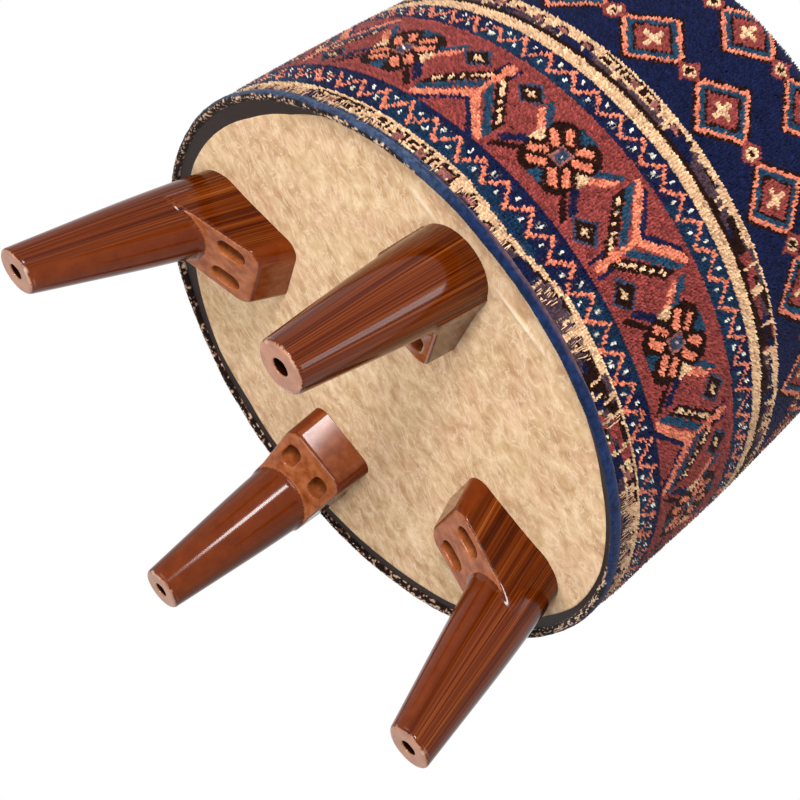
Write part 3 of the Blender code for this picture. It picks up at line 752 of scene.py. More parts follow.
def weaveField(weave, inside, along, height):
    # the upper part: dark ground with rows of stepped lozenges
    weave.put(inside, "navy")
    pitch = turnLength / border["fieldLozenges"]
    for row, middle in enumerate(border["fieldRows"]):
        u = np.mod(along + pitch * (0.5 * row), pitch) - pitch / 2
        v = height - middle
        lozenge = np.abs(u) / 27 + np.abs(v) / 30
        for size, name in ((1, "brown"), (0.9, "salmon"), (0.76, "teal"), (0.6, "brown"), (0.52, "maroon")):
            weave.put(inside & (lozenge < size), name)
        cross = ((np.abs(u) < 7) & (np.abs(v) < 1.8)) | ((np.abs(v) < 8) & (np.abs(u) < 1.9))
        weave.put(inside & cross, "cream")
        du = np.abs(np.abs(u) - pitch / 2)
        small = du / 9 + np.abs(v) / 10
        weave.put(inside & (small < 1), "maroon")
        weave.put(inside & (small < 0.6), "cream")
        weave.put(inside & (small < 0.3), "brown")


def weaveSide(angle, height):
    # the whole side: from the worn guard stripe up to the field
    weave = Weave(len(angle))
    along = (angle - math.radians(border["rosetteBearing"])) * border["turnRadius"]
    edge = creamEdge(angle)
    weaveGuard(weave, height < edge, along, edge - height, height)
    lower = (height >= edge) & (height < border["lowerNavyTop"])
    weaveZigzag(weave, lower, along, height, border["lowerZigzag"])

    main = (height >= border["lowerNavyTop"]) & (height < border["mainTop"])
    weave.put(main, "maroon")
    pitch = turnLength / border["rosettes"]
    u = along - np.round(along / pitch) * pitch
    v = height - border["middle"]
    weaveRosette(weave, main & (np.abs(u) < 31), u, v)
    between = np.floor(along / pitch)
    u = along - (between + 0.5) * pitch
    weaveMedallion(weave, main & (np.abs(u) < 30), u, np.where(np.mod(between, 2) == 0, v, -v))

    upper = (height >= border["mainTop"]) & (height < border["upperNavyTop"])
    weaveZigzag(weave, upper, along, height, border["upperZigzag"])
    weave.put((height >= border["upperNavyTop"]) & (height < border["stripeTop"]), "cream")
    second = (height >= border["stripeTop"]) & (height < border["fieldBase"])
    weave.put(second, "brown")
    second &= height > border["secondGuardBase"]
    shifted = along + border["secondGuardShift"]
    weaveGuard(weave, second, shifted, border["fieldBase"] - height, height)
    weaveField(weave, height >= border["fieldBase"], along, height)
    return weave.wool


# the seat medallion's bands, from its outer step inward
seatSteps = (
    (1, "brown"), (0.95, "cream"), (0.9, "brown"), (0.86, "maroon"), (0.56, "brown"), (0.52, "salmon"),
    (0.46, "teal"), (0.3, "brown"), (0.26, "maroon"),
)


def weaveSeat(x, y):
    # the seat is cut from the field: one stepped medallion and small crosses round it
    weave = Weave(len(x))
    weave.put(np.full(len(x), True), "navy")
    gridU, gridV = np.mod(x + 21, 42) - 21, np.mod(y + 21, 42) - 21
    small = np.abs(gridU) / 12 + np.abs(gridV) / 12
    weave.put(small < 1, "maroon")
    weave.put(small < 0.66, "cream")
    weave.put(small < 0.4, "brown")
    star = np.maximum(np.abs(x) / 118 + np.abs(y) / 118, np.maximum(np.abs(x), np.abs(y)) / 84)
    for size, name in seatSteps:
        weave.put(star < size, name)
    for middle in ((0, 60), (60, 0), (0, -60), (-60, 0)):
        petal = np.abs(x - middle[0]) / 11 + np.abs(y - middle[1]) / 11
        weave.put(petal < 1, "salmon")
        weave.put(petal < 0.55, "navy")
    weaveRosette(weave, np.hypot(x, y) < 24, x, y)
    return weave.wool


def dyedColours(wool, along, height, seed):
    # each knot takes its wool's colour, a little lighter or darker, with slow bands of uneven dye
    chance = np.random.default_rng(seed)
    tone = 1 + 0.2 * chance.standard_normal(len(wool))
    tone *= 0.86 + 0.28 * wavyNoise(along, height * 3, (41, 37), seed + 1)
    tone *= 0.9 + 0.2 * wavyNoise(along, height * 9, (260, 90), seed + 2)
    return np.clip(woolTable[wool] * np.maximum(tone, 0.45)[:, None], 0, 1)


# carpet: the knots' places, the backing and the pile

carpetSide = {
    "footRadius": 189.0,
    "shoulderRadius": 184.0,
    "belly": 3.0,
    "shoulderHeight": 18.0,
    "shoulderWidth": 12.0,
    "crownFullness": 0.6,
    "columns": 630,                            # knots round the drum
    "knotHeight": 1.75,
    "knotDrift": 0.16,                         # share of a knot's width
    "slack": (0.8, 0.5),                       # slow and quick waves of the cloth
    "pileHeight": 2.6,
    "pileSpread": 1.45,
    "nap": 0.9,                                # how far the tips lean towards the foot
    "sway": 0.45,                              # and how far each leans its own way
    "rootPaintedShade": 0.62,                         # painted shade darkens the tufts at the root, painted light brightens them at the tip
    "tipPaintedLight": 1.12,
    # the backing is darkened by this much: painted shade under the pile
    "backingPaintedShade": 0.6,
    "wornPile": 0.75,                          # height that is left of the guard stripe's pile
    "bakeSpot": 0.82,                          # room of one tuft in the baked colours
    "pileSplit": 127.0,                        # the border's pile ends and the field's begins
    "backingColumns": 360,
    "backingRows": 96,
}


def sideOutline():
    # radius, height above the floor and length along the side, from the foot to the seam
    form = carpetSide
    foot, seam = footHeight * 1000, seamHeight * 1000
    shoulder = seam - form["shoulderHeight"]
    share = np.linspace(0, 1, 241)
    radius = form["footRadius"] + (form["shoulderRadius"] - form["footRadius"]) * share
    radius = radius + 4 * form["belly"] * share * (1 - share)
    height = foot + (shoulder - foot) * share
    bend = np.linspace(0, math.pi / 2, 41)[1:]
    inner = form["shoulderRadius"] - form["shoulderWidth"]
    radius = np.append(radius, inner + form["shoulderWidth"] * np.cos(bend))
    height = np.append(height, shoulder + form["shoulderHeight"] * np.sin(bend))
    length = np.append(0, np.cumsum(np.hypot(np.diff(radius), np.diff(height))))
    return radius, height, length


def sidePoints(angle, along, inset):
    # points and outward normals on the side, drawn in by inset
    radius, height, length = sideOutline()
    slopeR, slopeH = np.gradient(radius, length), np.gradient(height, length)
    outR, outH = np.interp(along, length, slopeH), -np.interp(along, length, slopeR)
    slow, quick = carpetSide["slack"]
    slack = slow * (wavyNoise(angle / math.tau, along / 300, (19, 5), 31) - 0.5)
    slack = slack + quick * (wavyNoise(angle / math.tau, along / 300, (57, 13), 32) - 0.5)
    r = np.interp(along, length, radius) + (slack - inset) * outR
    z = np.interp(along, length, height) + (slack - inset) * outH
    normals = np.stack([outR * np.cos(angle), outR * np.sin(angle), outH], axis=-1)
    return around(r, angle, z) / 1000, unit(normals)


def plantPile(name, roots, normals, nap, colours, flat, material, heightScale, seed):
    # one short leaning tuft of three faces for each knot
    form = carpetSide
    chance = np.random.default_rng(seed)
    count = len(roots)
    first = unit(np.cross(normals, nap))
    second = np.cross(normals, first)
    spin = chance.random(count) * math.tau
    size = form["pileSpread"] / 1000 * (0.85 + 0.3 * chance.random(count))
    tall = form["pileHeight"] / 1000 * (0.8 + 0.4 * chance.random(count)) * heightScale
    sway = form["sway"] / 1000 * chance.standard_normal((count, 2))
    points = np.empty((count, 4, 3))
    shading = np.empty((count, 4, 3))
    spots = np.empty((count, 4, 2))
    for corner in range(3):
        turn = spin + math.tau * corner / 3
        outward = first * np.cos(turn)[:, None] + second * np.sin(turn)[:, None]
        points[:, corner] = roots + outward * size[:, None]
        shading[:, corner] = unit(normals + 0.55 * outward)
        spots[:, corner] = flat + form["bakeSpot"] / 1000 * np.stack([np.cos(turn), np.sin(turn)], axis=-1)
    lean = form["nap"] / 1000 * heightScale
    points[:, 3] = roots + normals * tall[:, None] + nap * np.reshape(lean, (-1, 1))
    points[:, 3] += first * sway[:, :1] + second * sway[:, 1:]
    shading[:, 3] = unit(normals + 0.25 * nap)
    spots[:, 3] = flat
    base = np.arange(count)[:, None] * 4
    faces = np.concatenate([base + [0, 1, 3], base + [1, 2, 3], base + [2, 0, 3]])
    facing = np.cross(points[:, 1] - points[:, 0], points[:, 2] - points[:, 0])
    if np.mean(np.einsum("ij,ij->i", facing, normals)) < 0:
        faces = faces[:, ::-1]
    pile = addPiece(name, points.reshape(-1, 3), faces, material)
    # painted shade at the tufts' roots, painted light at their tips
    paintedTuftLight = np.array([form["rootPaintedShade"]] * 3 + [form["tipPaintedLight"]])
    shades = colours[:, None, :] * paintedTuftLight[None, :, None]
    paintPoints(pile, "wool", np.clip(shades, 0, 1).reshape(-1, 3))
    low, high = flat.min(axis=0) - 0.001, flat.max(axis=0) + 0.001
    layer = pile.data.uv_layers.new(name="OFBake")
    order = np.empty(len(pile.data.loops), dtype=int)
    pile.data.loops.foreach_get("vertex_index", order)
    layer.uv.foreach_set("vector", ((spots.reshape(-1, 2)[order] - low) / (high - low)).ravel())
    pile.data.normals_split_custom_set_from_vertices(shading.reshape(-1, 3).tolist())
    return pile


def knottedWool():
    material, shader = startMaterial(
        "knottedWool", Roughness=0.95, Specular_IOR_Level=0.12, Sheen_Weight=0.12, Sheen_Roughness=0.4
    )
    shader.inputs["Sheen Tint"].default_value = (1.0, 0.9, 0.85, 1)
    fibre = noise(material, objectPlace(material), 900.0, 3.0, 0.6)
    tone = ramp(material, fibre, [(0.25, (0.72, 0.72, 0.72)), (0.75, (1.12, 1.12, 1.12))])
    colour = blendColour(material, 1.0, attribute(material, "wool"), tone, "MULTIPLY")
    joinSocket(material, colour, shader.inputs["Base Color"])
    joinSocket(material, bump(material, fibre, 0.4, 0.0006), shader.inputs["Normal"])
    return material


def addCarpetSide():
    form = carpetSide
    _, height, length = sideOutline()
    material = knottedWool()
    # the backing, which the pile stands on; its colours are darkened with painted shade from the pile
    rows, columns = form["backingRows"], form["backingColumns"]
    angle, along = np.meshgrid(turnAngles(columns), np.linspace(0, length[-1], rows))
    angle, along = angle.ravel(), along.ravel()
    points, _ = sidePoints(angle, along, form["pileHeight"])
    backing = addPiece("carpetSideBacking", points, ringFaces(rows, columns), material)
    level = np.interp(along, length, height) - underside * 1000
    wool = weaveSide(angle, level)
    colours = dyedColours(wool, angle / math.tau, level / 300, 41)
    # painted shade: the backing under the pile is darkened
    paintPoints(backing, "wool", colours * form["backingPaintedShade"])
    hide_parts("rug_side")

    rowCount = int(length[-1] / form["knotHeight"])
    column, row = np.meshgrid(np.arange(form["columns"]), np.arange(rowCount))
    column, row = column.ravel(), row.ravel()
    step = math.tau / form["columns"]
    angle = -math.pi + (column + 0.5) * step
    along = (row + 0.5) * length[-1] / rowCount
    level = np.interp(along, length, height) - underside * 1000
    wool = weaveSide(angle, level)
    colours = dyedColours(wool, angle / math.tau, level / 300, 43)
    angle = angle + step * form["knotDrift"] * dice.standard_normal(len(angle))
    roots, normals = sidePoints(angle, along, form["pileHeight"])
    nap = unit(np.cross(normals, np.cross(np.array([0.0, 0.0, -1.0]), normals)))
    worn = np.where(level < creamEdge(angle), form["wornPile"], 1.0)
    flat = np.stack([angle * border["turnRadius"], along], axis=-1) / 1000
    inBorder = level < form["pileSplit"]
    piles = []
    for name, part, seed in (("carpetPileBorder", inBorder, 50), ("carpetPileField", ~inBorder, 178)):
        sown = [values[part] for values in (roots, normals, nap, colours, flat)]
        pile = plantPile(name, *sown, material, worn[part], seed)
        piles.append(pile)
    print("carpet side knotted,", len(angle), "knots")
    return backing, piles, length[-1] / 1000


carpetSeat = {
    "knotWidth": 1.9,
    "knotHeight": 1.75,
    "knotDrift": 0.25,
    "rings": 44,
    "columns": 192,
    "rimDrop": 6.0,                            # its edge is turned down this far at the seam
    "sewnIn": 10.0,                            # cloth that the seam takes up on each side
}


def seatLevel(radius, inset):
    # height of the crowned seat at a radius, in millimetres
    rim = carpetSide["shoulderRadius"] - carpetSide["shoulderWidth"] - inset * 0.5
    seam, top = seamHeight * 1000, seatTop * 1000 - inset
    share = np.clip(radius / rim, 0, 1)
    return seam + (top - seam) * (1 - share ** 2) ** carpetSide["crownFullness"], rim


def addCarpetSeat(material):
    form = carpetSeat
    inset = carpetSide["pileHeight"]
    _, rim = seatLevel(np.zeros(1), inset)
    share = np.sin(np.linspace(0, math.pi / 2, form["rings"]))[1:]
    turn = turnAngles(form["columns"])
    radius, angle = (part.ravel() for part in np.meshgrid(share * rim, turn, indexing="ij"))
    level, _ = seatLevel(radius, inset)
    edge = around(np.full(len(turn), rim), turn, seamHeight * 1000 - form["rimDrop"])
    points = [around(radius, angle, level), edge, [(0, 0, seatTop * 1000 - inset)]]
    points = np.concatenate(points) / 1000
    faces = [face[::-1] for face in discFaces(form["rings"], len(turn))]
    backing = addPiece("carpetSeatBacking", points, faces, material)
    wool = weaveSeat(points[:, 0] * 1000, points[:, 1] * 1000)
    colours = dyedColours(wool, points[:, 0], points[:, 1], 61)
    # painted shade: the seat's backing under the pile is darkened
    paintPoints(backing, "wool", colours * carpetSide["backingPaintedShade"])
    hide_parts("rug_top")

    rows = []
    for size in (form["knotWidth"], form["knotHeight"]):
        count = int(rim / size) + 1
        rows.append(np.arange(-count, count + 1) * size)
    x, y = (part.ravel() for part in np.meshgrid(*rows))
    inside = np.hypot(x, y) < rim - 0.6
    x, y = x[inside], y[inside]
    wool = weaveSeat(x, y)
    colours = dyedColours(wool, x / 400, y / 400, 63)
    x = x + form["knotDrift"] * dice.standard_normal(len(x))
    radius = np.minimum(np.hypot(x, y), rim - 0.3)
    level, _ = seatLevel(radius, inset)
    raised, _ = seatLevel(np.minimum(radius + 0.2, rim), inset)
    slope = np.clip((raised - level) / 0.2, -3, 0)
    bearing = np.arctan2(y, x)
    normals = unit(np.stack([-slope * np.cos(bearing), -slope * np.sin(bearing), np.ones(len(x))], axis=-1))
    nap = unit(np.cross(normals, np.cross(np.array([0.0, -1.0, 0.0]), normals)))
    roots = np.stack([x, y, level], axis=-1) / 1000
    flat = np.stack([x, y], axis=-1) / 1000
    pile = plantPile("carpetPileSeat", roots, normals, nap, colours, flat, material, np.ones(len(x)), 65)
    print("carpet seat knotted,", len(x), "knots")
    return backing, pile


# the carpet's bottom lip: overcast edge, cut pile ends and loose threads

lip = {
    "middleRadius": 186.4,
    "halfWidth": 2.7,
    "halfHeight": 3.2,
    "columns": 1680,
    "sides": 20,
    "wraps": 560,                              # turns of the overcast wool
    "wrapDepth": 0.22,
    "threads": 2400,
    "specks": 520,
    "shadow": srgb(26, 14, 10),                # under the lip
    "dullSpeck": srgb(140, 92, 76),
    "paleSpeck": srgb(216, 186, 156),
    "pileEnd": srgb(232, 206, 176),
}


def lipPoint(angle, section):
    # a point of the overcast edge; section is 0 outward and -90 degrees downward
    turn = angle / math.tau
    wander = 0.9 * (wavyNoise(turn, 0 * angle, (23, 1), 71) - 0.5)
    lift = 1.3 * (wavyNoise(turn, 0 * angle, (17, 1), 72) - 0.5)
    girth = 1 + 0.16 * (wavyNoise(turn, 0 * angle, (61, 1), 73) - 0.5)
    ridge = lip["wrapDepth"] * np.abs(np.sin(lip["wraps"] * angle / 2 + section * 0.8))
    ridge = ridge + 0.3 * (wavyNoise(turn, section / math.tau + 0.5, (420, 9), 74) - 0.5)
    radius = lip["middleRadius"] + wander + (lip["halfWidth"] * girth + ridge) * np.cos(section)
    middle = lipBase * 1000 + lip["halfHeight"] + lift
    return around(radius, angle, middle + (lip["halfHeight"] * girth + ridge) * np.sin(section)) / 1000


def blueEnd(angle):
    # how far under the lip the blue wool reaches, as a section angle; it is rolled in on one side
    degree = np.degrees(angle)
    rolled = np.clip((degree + 110) / 14, 0, 1) * np.clip((-16 - degree) / 12, 0, 1)
    return -56 - 95 * rolled


def edgeWool():
    material, shader = startMaterial(
        "edgeWool", Roughness=0.95, Specular_IOR_Level=0.12, Sheen_Weight=0.08, Sheen_Roughness=0.5
    )
    fibre = noise(material, objectPlace(material, (1, 1, 3)), 700.0, 4.0, 0.65)
    tone = ramp(material, fibre, [(0.25, (0.6, 0.6, 0.62)), (0.75, (1.25, 1.22, 1.2))])
    colour = blendColour(material, 1.0, attribute(material, "wool"), tone, "MULTIPLY")
    joinSocket(material, colour, shader.inputs["Base Color"])
    joinSocket(material, bump(material, fibre, 0.5, 0.0008), shader.inputs["Normal"])
    return material


def strands(name, roots, directions, droop, length, width, colours, material):
    # thin ribbons of three points, each bent by its droop
    side = unit(np.cross(directions, droop + 1e-6))
    points = []
    for share in (0.0, 0.5, 1.0):
        middle = roots + directions * (length * share)[:, None] + droop * (length * share ** 2)[:, None]
        half = side * (width * (1 - 0.6 * share))[:, None] / 2
        points += [middle - half, middle + half]
    points = np.stack(points, axis=1)
    base = np.arange(len(roots))[:, None] * 6
    faces = np.concatenate([base + [0, 1, 3, 2], base + [2, 3, 5, 4]])
    piece = addPiece(name, points.reshape(-1, 3), faces, material)
    paintPoints(piece, "wool", np.repeat(colours, 6, axis=0))
    return piece


def lipColours(angle, section):
    turn, bearing = angle / math.tau, np.degrees(angle)
    degree = np.degrees(section)
    over = degree / 360 + 0.5
    fibres = 0.35 + 1.2 * wavyNoise(turn, over, (640, 16), 75)
    slow = 0.8 + 0.4 * wavyNoise(turn, 0 * turn, (31, 1), 70)
    pale = np.clip((-92 - bearing) / 14, 0, 1) * (bearing > -170)
    deep, faded = (np.array(woolColours[name]) for name in ("deepBlue", "edgeBlue"))
    blue = (deep + (faded - deep) * pale[:, None]) * (fibres * slow)[:, None]
    # fuzz of the carpet hangs over the blue wool
    hung = np.clip((bearing + 96) / 8, 0, 1) * np.clip((-58 - bearing) / 8, 0, 1)
    fuzz = np.array(woolColours["plum"]) * (0.5 + wavyNoise(turn, over, (620, 12), 84))[:, None]
    hidden = np.clip((degree + 8 - 40 * (1 - hung)) / 14, 0, 1) * np.clip((150 - degree) / 20, 0, 1)
    blue = blue + (fuzz - blue) * hidden[:, None]
    dark = np.array(lip["shadow"]) * (0.5 + wavyNoise(turn, over, (500, 14), 76))[:, None]
    speck = wavyNoise(turn, over, (560, 16), 77)[:, None]
    dark = np.where(speck > 0.68, lip["dullSpeck"], dark)
    dark = np.where(speck > 0.77, lip["paleSpeck"], dark)
    frayed = 16 * (wavyNoise(turn, 0 * turn, (140, 1), 78) - 0.5)
    fade = np.clip((degree - blueEnd(angle) + frayed) / 10, 0, 1)
    fade = np.where(degree > 120, np.clip((140 - degree) / 20, 0, 1), fade)
    return dark + (blue - dark) * fade[:, None]


def addPileEnds(material):
    # stitches and cut pile ends that show as pale dashes under the lip
    angle = turnAngles(lip["specks"]) + 0.003 * dice.standard_normal(lip["specks"])
    section = np.radians(-96 + 22 * dice.standard_normal(len(angle)))
    bare = np.degrees(section) < blueEnd(angle) - 6
    angle, section = angle[bare], section[bare]
    roots = lipPoint(angle, section)
    middle = around(lip["middleRadius"] / 1000, angle, lipBase + lip["halfHeight"] / 1000)
    outward = unit(roots - middle)
    drift = np.stack([-np.sin(angle), np.cos(angle), 0 * angle], axis=-1)
    shade = np.array(lip["pileEnd"]) * (0.55 + 0.5 * dice.random(len(angle)))[:, None]
    span = 0.001 + 0.0014 * dice.random(len(angle))
    width = 0.0006 + 0.0006 * dice.random(len(angle))
    directions = unit(outward * 0.2 + drift)
    starts = roots - drift * 0.0008
    specks = strands("pileEnds", starts, directions, outward * 0.05, span, width, shade, material)
    return specks


def addLooseThreads(material):
    # cream threads that hang from the worn guard stripe
    count = lip["threads"]
    angle = dice.random(count) * math.tau - math.pi
    edge = creamEdge(angle)
    level = edge - 4.0 - dice.random(count) * 9.0
    _, height, length = sideOutline()
    along = np.interp(level + underside * 1000, height, length)
    roots, normals = sidePoints(angle, np.maximum(along, 0.3), 1.0)
    down = np.array([0.0, 0.0, -1.0])
    sideways = np.stack([-np.sin(angle), np.cos(angle), 0 * angle], axis=-1)
    directions = unit(normals * 0.3 + down + sideways * 0.22 * dice.standard_normal((count, 1)))
    bunch = wavyNoise(angle / math.tau, 0 * angle, (95, 1), 79)
    keep = (bunch > 0.52) & (along > 1.5)
    shade = np.where(dice.random(count)[:, None] < 0.75, woolColours["cream"], woolColours["plum"])
    shade = shade * (0.6 + 0.45 * dice.random(count))[:, None]
    span = 0.002 + 0.0028 * dice.random(count)
    width = 0.0005 + 0.0004 * dice.random(count)
    droop = down * 0.2 - normals * 0.3
    hung = [values[keep] for values in (roots, directions, droop, span, width, shade)]
    threads = strands("looseThreads", *hung, material)
    print("lip frayed,", int(keep.sum()), "loose threads")
    return threads


def addLip():
    material = edgeWool()
    section, angle = np.meshgrid(turnAngles(lip["sides"]), turnAngles(lip["columns"]), indexing="ij")
    section, angle = section.ravel(), angle.ravel()
    faces = ringFaces(lip["sides"], lip["columns"], tube=True)[:, ::-1]
    cord = addPiece("overcastEdge", lipPoint(angle, section), faces, material)
    paintPoints(cord, "wool", lipColours(angle, section))
    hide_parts("rug_selvedge")
    print("lip overcast")
    specks = addPileEnds(material)
    return cord, specks, addLooseThreads(material)


# underside: suede panel and the black tape round it

suede = {
    "rings": 62,
    "columns": 480,
    "thickness": 0.0010,
    "level": 0.3,                              # its face lies this far above the underside
    "lift": 0.35,
    "pull": 0.5,                               # depth of the pulls towards the tacks
    "pullStart": 150.0,                        # radius where they begin
    "pullRun": 30.0,
    "coarseShare": 0.8,                        # the mesh is finer outside this share of the radius
    "tapeRows": 7,
    "tapeColumns": 720,
    "tapeLevel": 0.8,
    "tapeDrop": 1.6,
    "tapeLap": 1.5,                            # the tape starts this far under the suede
    "tapeReach": 184.3,                        # radius where it meets the lip
    "creaseWidth": 1.7,
    # bearing and radius of each end, and height
    "creases": ((-81.5, 163.2, -66.5, 169.3, 0.8), (-105.5, 169.6, -97.5, 161.9, 0.45)),
}


# cut edge of the suede, bearing in degrees and radius; it is cut by hand and not quite round
suedeCut = (
    (-180, 176.5), (-150, 173.5), (-136, 175.5), (-125, 181.4), (-114, 183.6), (-104, 181.0), (-86, 181.5),
    (-69, 182.6), (-56, 179.5), (-40, 177.6), (-17, 180.3), (-2, 180.0), (10, 177.0), (40, 179.5),
    (70, 178.0), (103, 179.0), (112, 177.2), (126, 181.2), (148, 174.2),
)


def suedeEdge(angle):
    bearings, radii = (np.array(values, dtype=float) for values in zip(*suedeCut))
    return np.interp(np.degrees(angle), bearings, radii, period=360)


def brushedSuede():
    material, shader = startMaterial(
        "brushedSuede", Roughness=0.96, Specular_IOR_Level=0.1, Sheen_Weight=0.12, Sheen_Roughness=0.45
    )
    brush = (0, 0, 1.0)                        # the nap is brushed along one line
    cloud = noise(material, objectPlace(material), 26.0, 4.0, 0.6, 0.5)
    patches = noise(material, objectPlace(material, (1, 0.8, 1), brush), 120.0, 5.0, 0.6, 0.35)
    strokes = noise(material, objectPlace(material, (1, 0.35, 1), brush), 520.0, 3.0, 0.6, 0.1)
    weighed = ((patches, 0.64), (cloud, 0.24), (strokes, 0.1))
    shares = [figure(material, "MULTIPLY", *part) for part in weighed]
    mixed = figure(material, "ADD", figure(material, "ADD", shares[0], shares[1]), shares[2])
    colour = ramp(
        material,
        mixed,
        [
            (0.36, srgb(190, 147, 107)),
            (0.46, srgb(212, 173, 133)),
            (0.56, srgb(230, 194, 154)),
            (0.68, srgb(248, 217, 181)),
        ],
    )
    # greener and pinker clouds, then pale wisps where the nap lies the other way
    tint = noise(material, objectPlace(material), 42.0, 3.0, 0.55, 0.4)
    tinted = ramp(material, tint, [(0.36, (1.0, 0.975, 0.985)), (0.64, (0.985, 1.015, 0.96))])
    colour = blendColour(material, 1.0, colour, tinted, "MULTIPLY")
    veins = noise(material, objectPlace(material, (1, 0.45, 1), brush), 95.0, 5.0, 0.62, 0.9)
    ridge = figure(material, "ABSOLUTE", figure(material, "SUBTRACT", veins, 0.5))
    thinned = {"Value": ridge, "From Max": 0.03, "To Min": 0.55, "To Max": 0.0}
    wisps = addNode(material, "ShaderNodeMapRange", thinned).outputs["Result"]
    colour = blendColour(material, wisps, colour, srgb(252, 226, 192))
    # painted highlight: the suede is paler along the creases' ridges
    paintedLight = figure(material, "MULTIPLY", attribute(material, "paintedLight", "Fac"), 0.7)
    colour = blendColour(material, paintedLight, colour, srgb(255, 236, 208))
    joinSocket(material, colour, shader.inputs["Base Color"])
    joinSocket(material, bump(material, mixed, 0.12, 0.001), shader.inputs["Normal"])
    return material


def tapeWeave():
    material, shader = startMaterial("blackTape", Roughness=0.55, Specular_IOR_Level=0.3)
    rib = noise(material, objectPlace(material), 1500.0, 2.0, 0.5)
    colour = ramp(material, rib, [(0.3, srgb(16, 10, 8)), (0.7, srgb(44, 28, 22))])
    joinSocket(material, colour, shader.inputs["Base Color"])
    joinSocket(material, bump(material, rib, 0.5, 0.0005), shader.inputs["Normal"])
    return material


def addSuedePanel():
    form = suede
    angle = turnAngles(form["columns"])
    edge = suedeEdge(angle)
    coarse = form["rings"] // 2
    share = np.linspace(0, form["coarseShare"], coarse)[1:]
    share = np.append(share, np.linspace(form["coarseShare"], 1, form["rings"] - coarse + 1)[1:])
    radius = (share[:, None] * edge[None, :]).ravel()
    angle = np.tile(angle, len(share))
    x, y = radius * np.cos(angle), radius * np.sin(angle)
    lift = form["lift"] * (wavyNoise(x / 400 + 0.5, y / 400 + 0.5, (9, 9), 81) - 0.5)
    lift = lift * np.clip((edge.min() - radius) / form["pullRun"], 0, 1)
    # gentle pulls towards the tacked rim
    pull = form["pull"] * np.clip((radius - form["pullStart"]) / form["pullRun"], 0, 1)
    pull = pull * (wavyNoise(angle / math.tau, 0 * angle, (40, 1), 82) - 0.3)
    flat = underside * 1000 + form["level"]
    level = flat + lift - np.maximum(pull, 0)
    # creases that stand up where the suede is tacked unevenly, with a painted highlight that makes them
    # paler along their ridges
    paintedLight = np.zeros(len(level))
    for startBearing, startRadius, endBearing, endRadius, tall in form["creases"]:
        start = startRadius * np.exp(1j * math.radians(startBearing))
        run = endRadius * np.exp(1j * math.radians(endBearing)) - start
        offset = x + 1j * y - start
        part = np.clip((offset * np.conj(run)).real / abs(run) ** 2, 0, 1)
        away = np.abs(offset - part * run) / form["creaseWidth"]
        ridge = np.exp(-away ** 2) * np.sin(math.pi * (0.1 + 0.8 * part))
        level = level - tall * ridge
        paintedLight = np.maximum(paintedLight, ridge)
    points = np.concatenate([np.stack([x, y, level], axis=-1), [(0, 0, flat)]]) / 1000
    panel = addPiece("suedePanel", points, discFaces(len(share), form["columns"]), brushedSuede())
    thick = panel.modifiers.new("thickness", "SOLIDIFY")
    thick.thickness = form["thickness"]
    thick.offset = -1.0
    # share of painted highlight along the crease ridges
    markPoints(panel, "paintedLight", np.append(paintedLight, 0))
    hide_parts("dust_cover")
    print("suede tacked on")
    return panel


def addHemTape():
    # the tape slopes from under the suede's edge down to the lip
    form = suede
    rows, columns = form["tapeRows"], form["tapeColumns"]
    share = np.linspace(0, 1, rows)
    angle = turnAngles(columns)
    inner = suedeEdge(angle) - form["tapeLap"]
    outer = np.maximum(inner + 2.2, form["tapeReach"])
    radius = (inner[None, :] + share[:, None] * (outer - inner)[None, :]).ravel()
    slack = 1 + 0.25 * (wavyNoise(angle / math.tau, 0 * angle, (60, 1), 83) - 0.5)
    sag = (share ** 1.2)[:, None] * slack[None, :]
    level = underside * 1000 + form["tapeLevel"]
    level = level - form["tapeDrop"] * sag.ravel() - 0.6 * share.repeat(columns)
    points = around(radius, np.tile(angle, rows), level) / 1000
    tape = addPiece("hemTape", points, ringFaces(rows, columns)[:, ::-1], tapeWeave())
    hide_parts("hem_tape")
    print("tape sewn in")
    return tape


# padding that the carpet hides

padding = {
    "pressure": 4.0,
    "frames": 20,
    "most": 0.004,                             # no point swells further than this
    "voxel": 0.006,
    "columns": 120,
    "wrapInside": 174.0,
    "foamColours": (srgb(222, 200, 150), srgb(242, 226, 184)),
    "waddingColours": (srgb(214, 210, 200), srgb(240, 238, 230)),
}


def softFoam(name, colours, scale):
    material, shader = startMaterial(name, Roughness=0.95, Specular_IOR_Level=0.1)
    cells = addNode(material, "ShaderNodeTexVoronoi", {"Vector": objectPlace(material), "Scale": scale})
    colour = ramp(material, cells.outputs["Distance"], [(0.1, colours[0]), (0.6, colours[1])])
    joinSocket(material, colour, shader.inputs["Base Color"])
    joinSocket(material, bump(material, cells.outputs["Distance"], 0.6, 0.001), shader.inputs["Normal"])
    return material


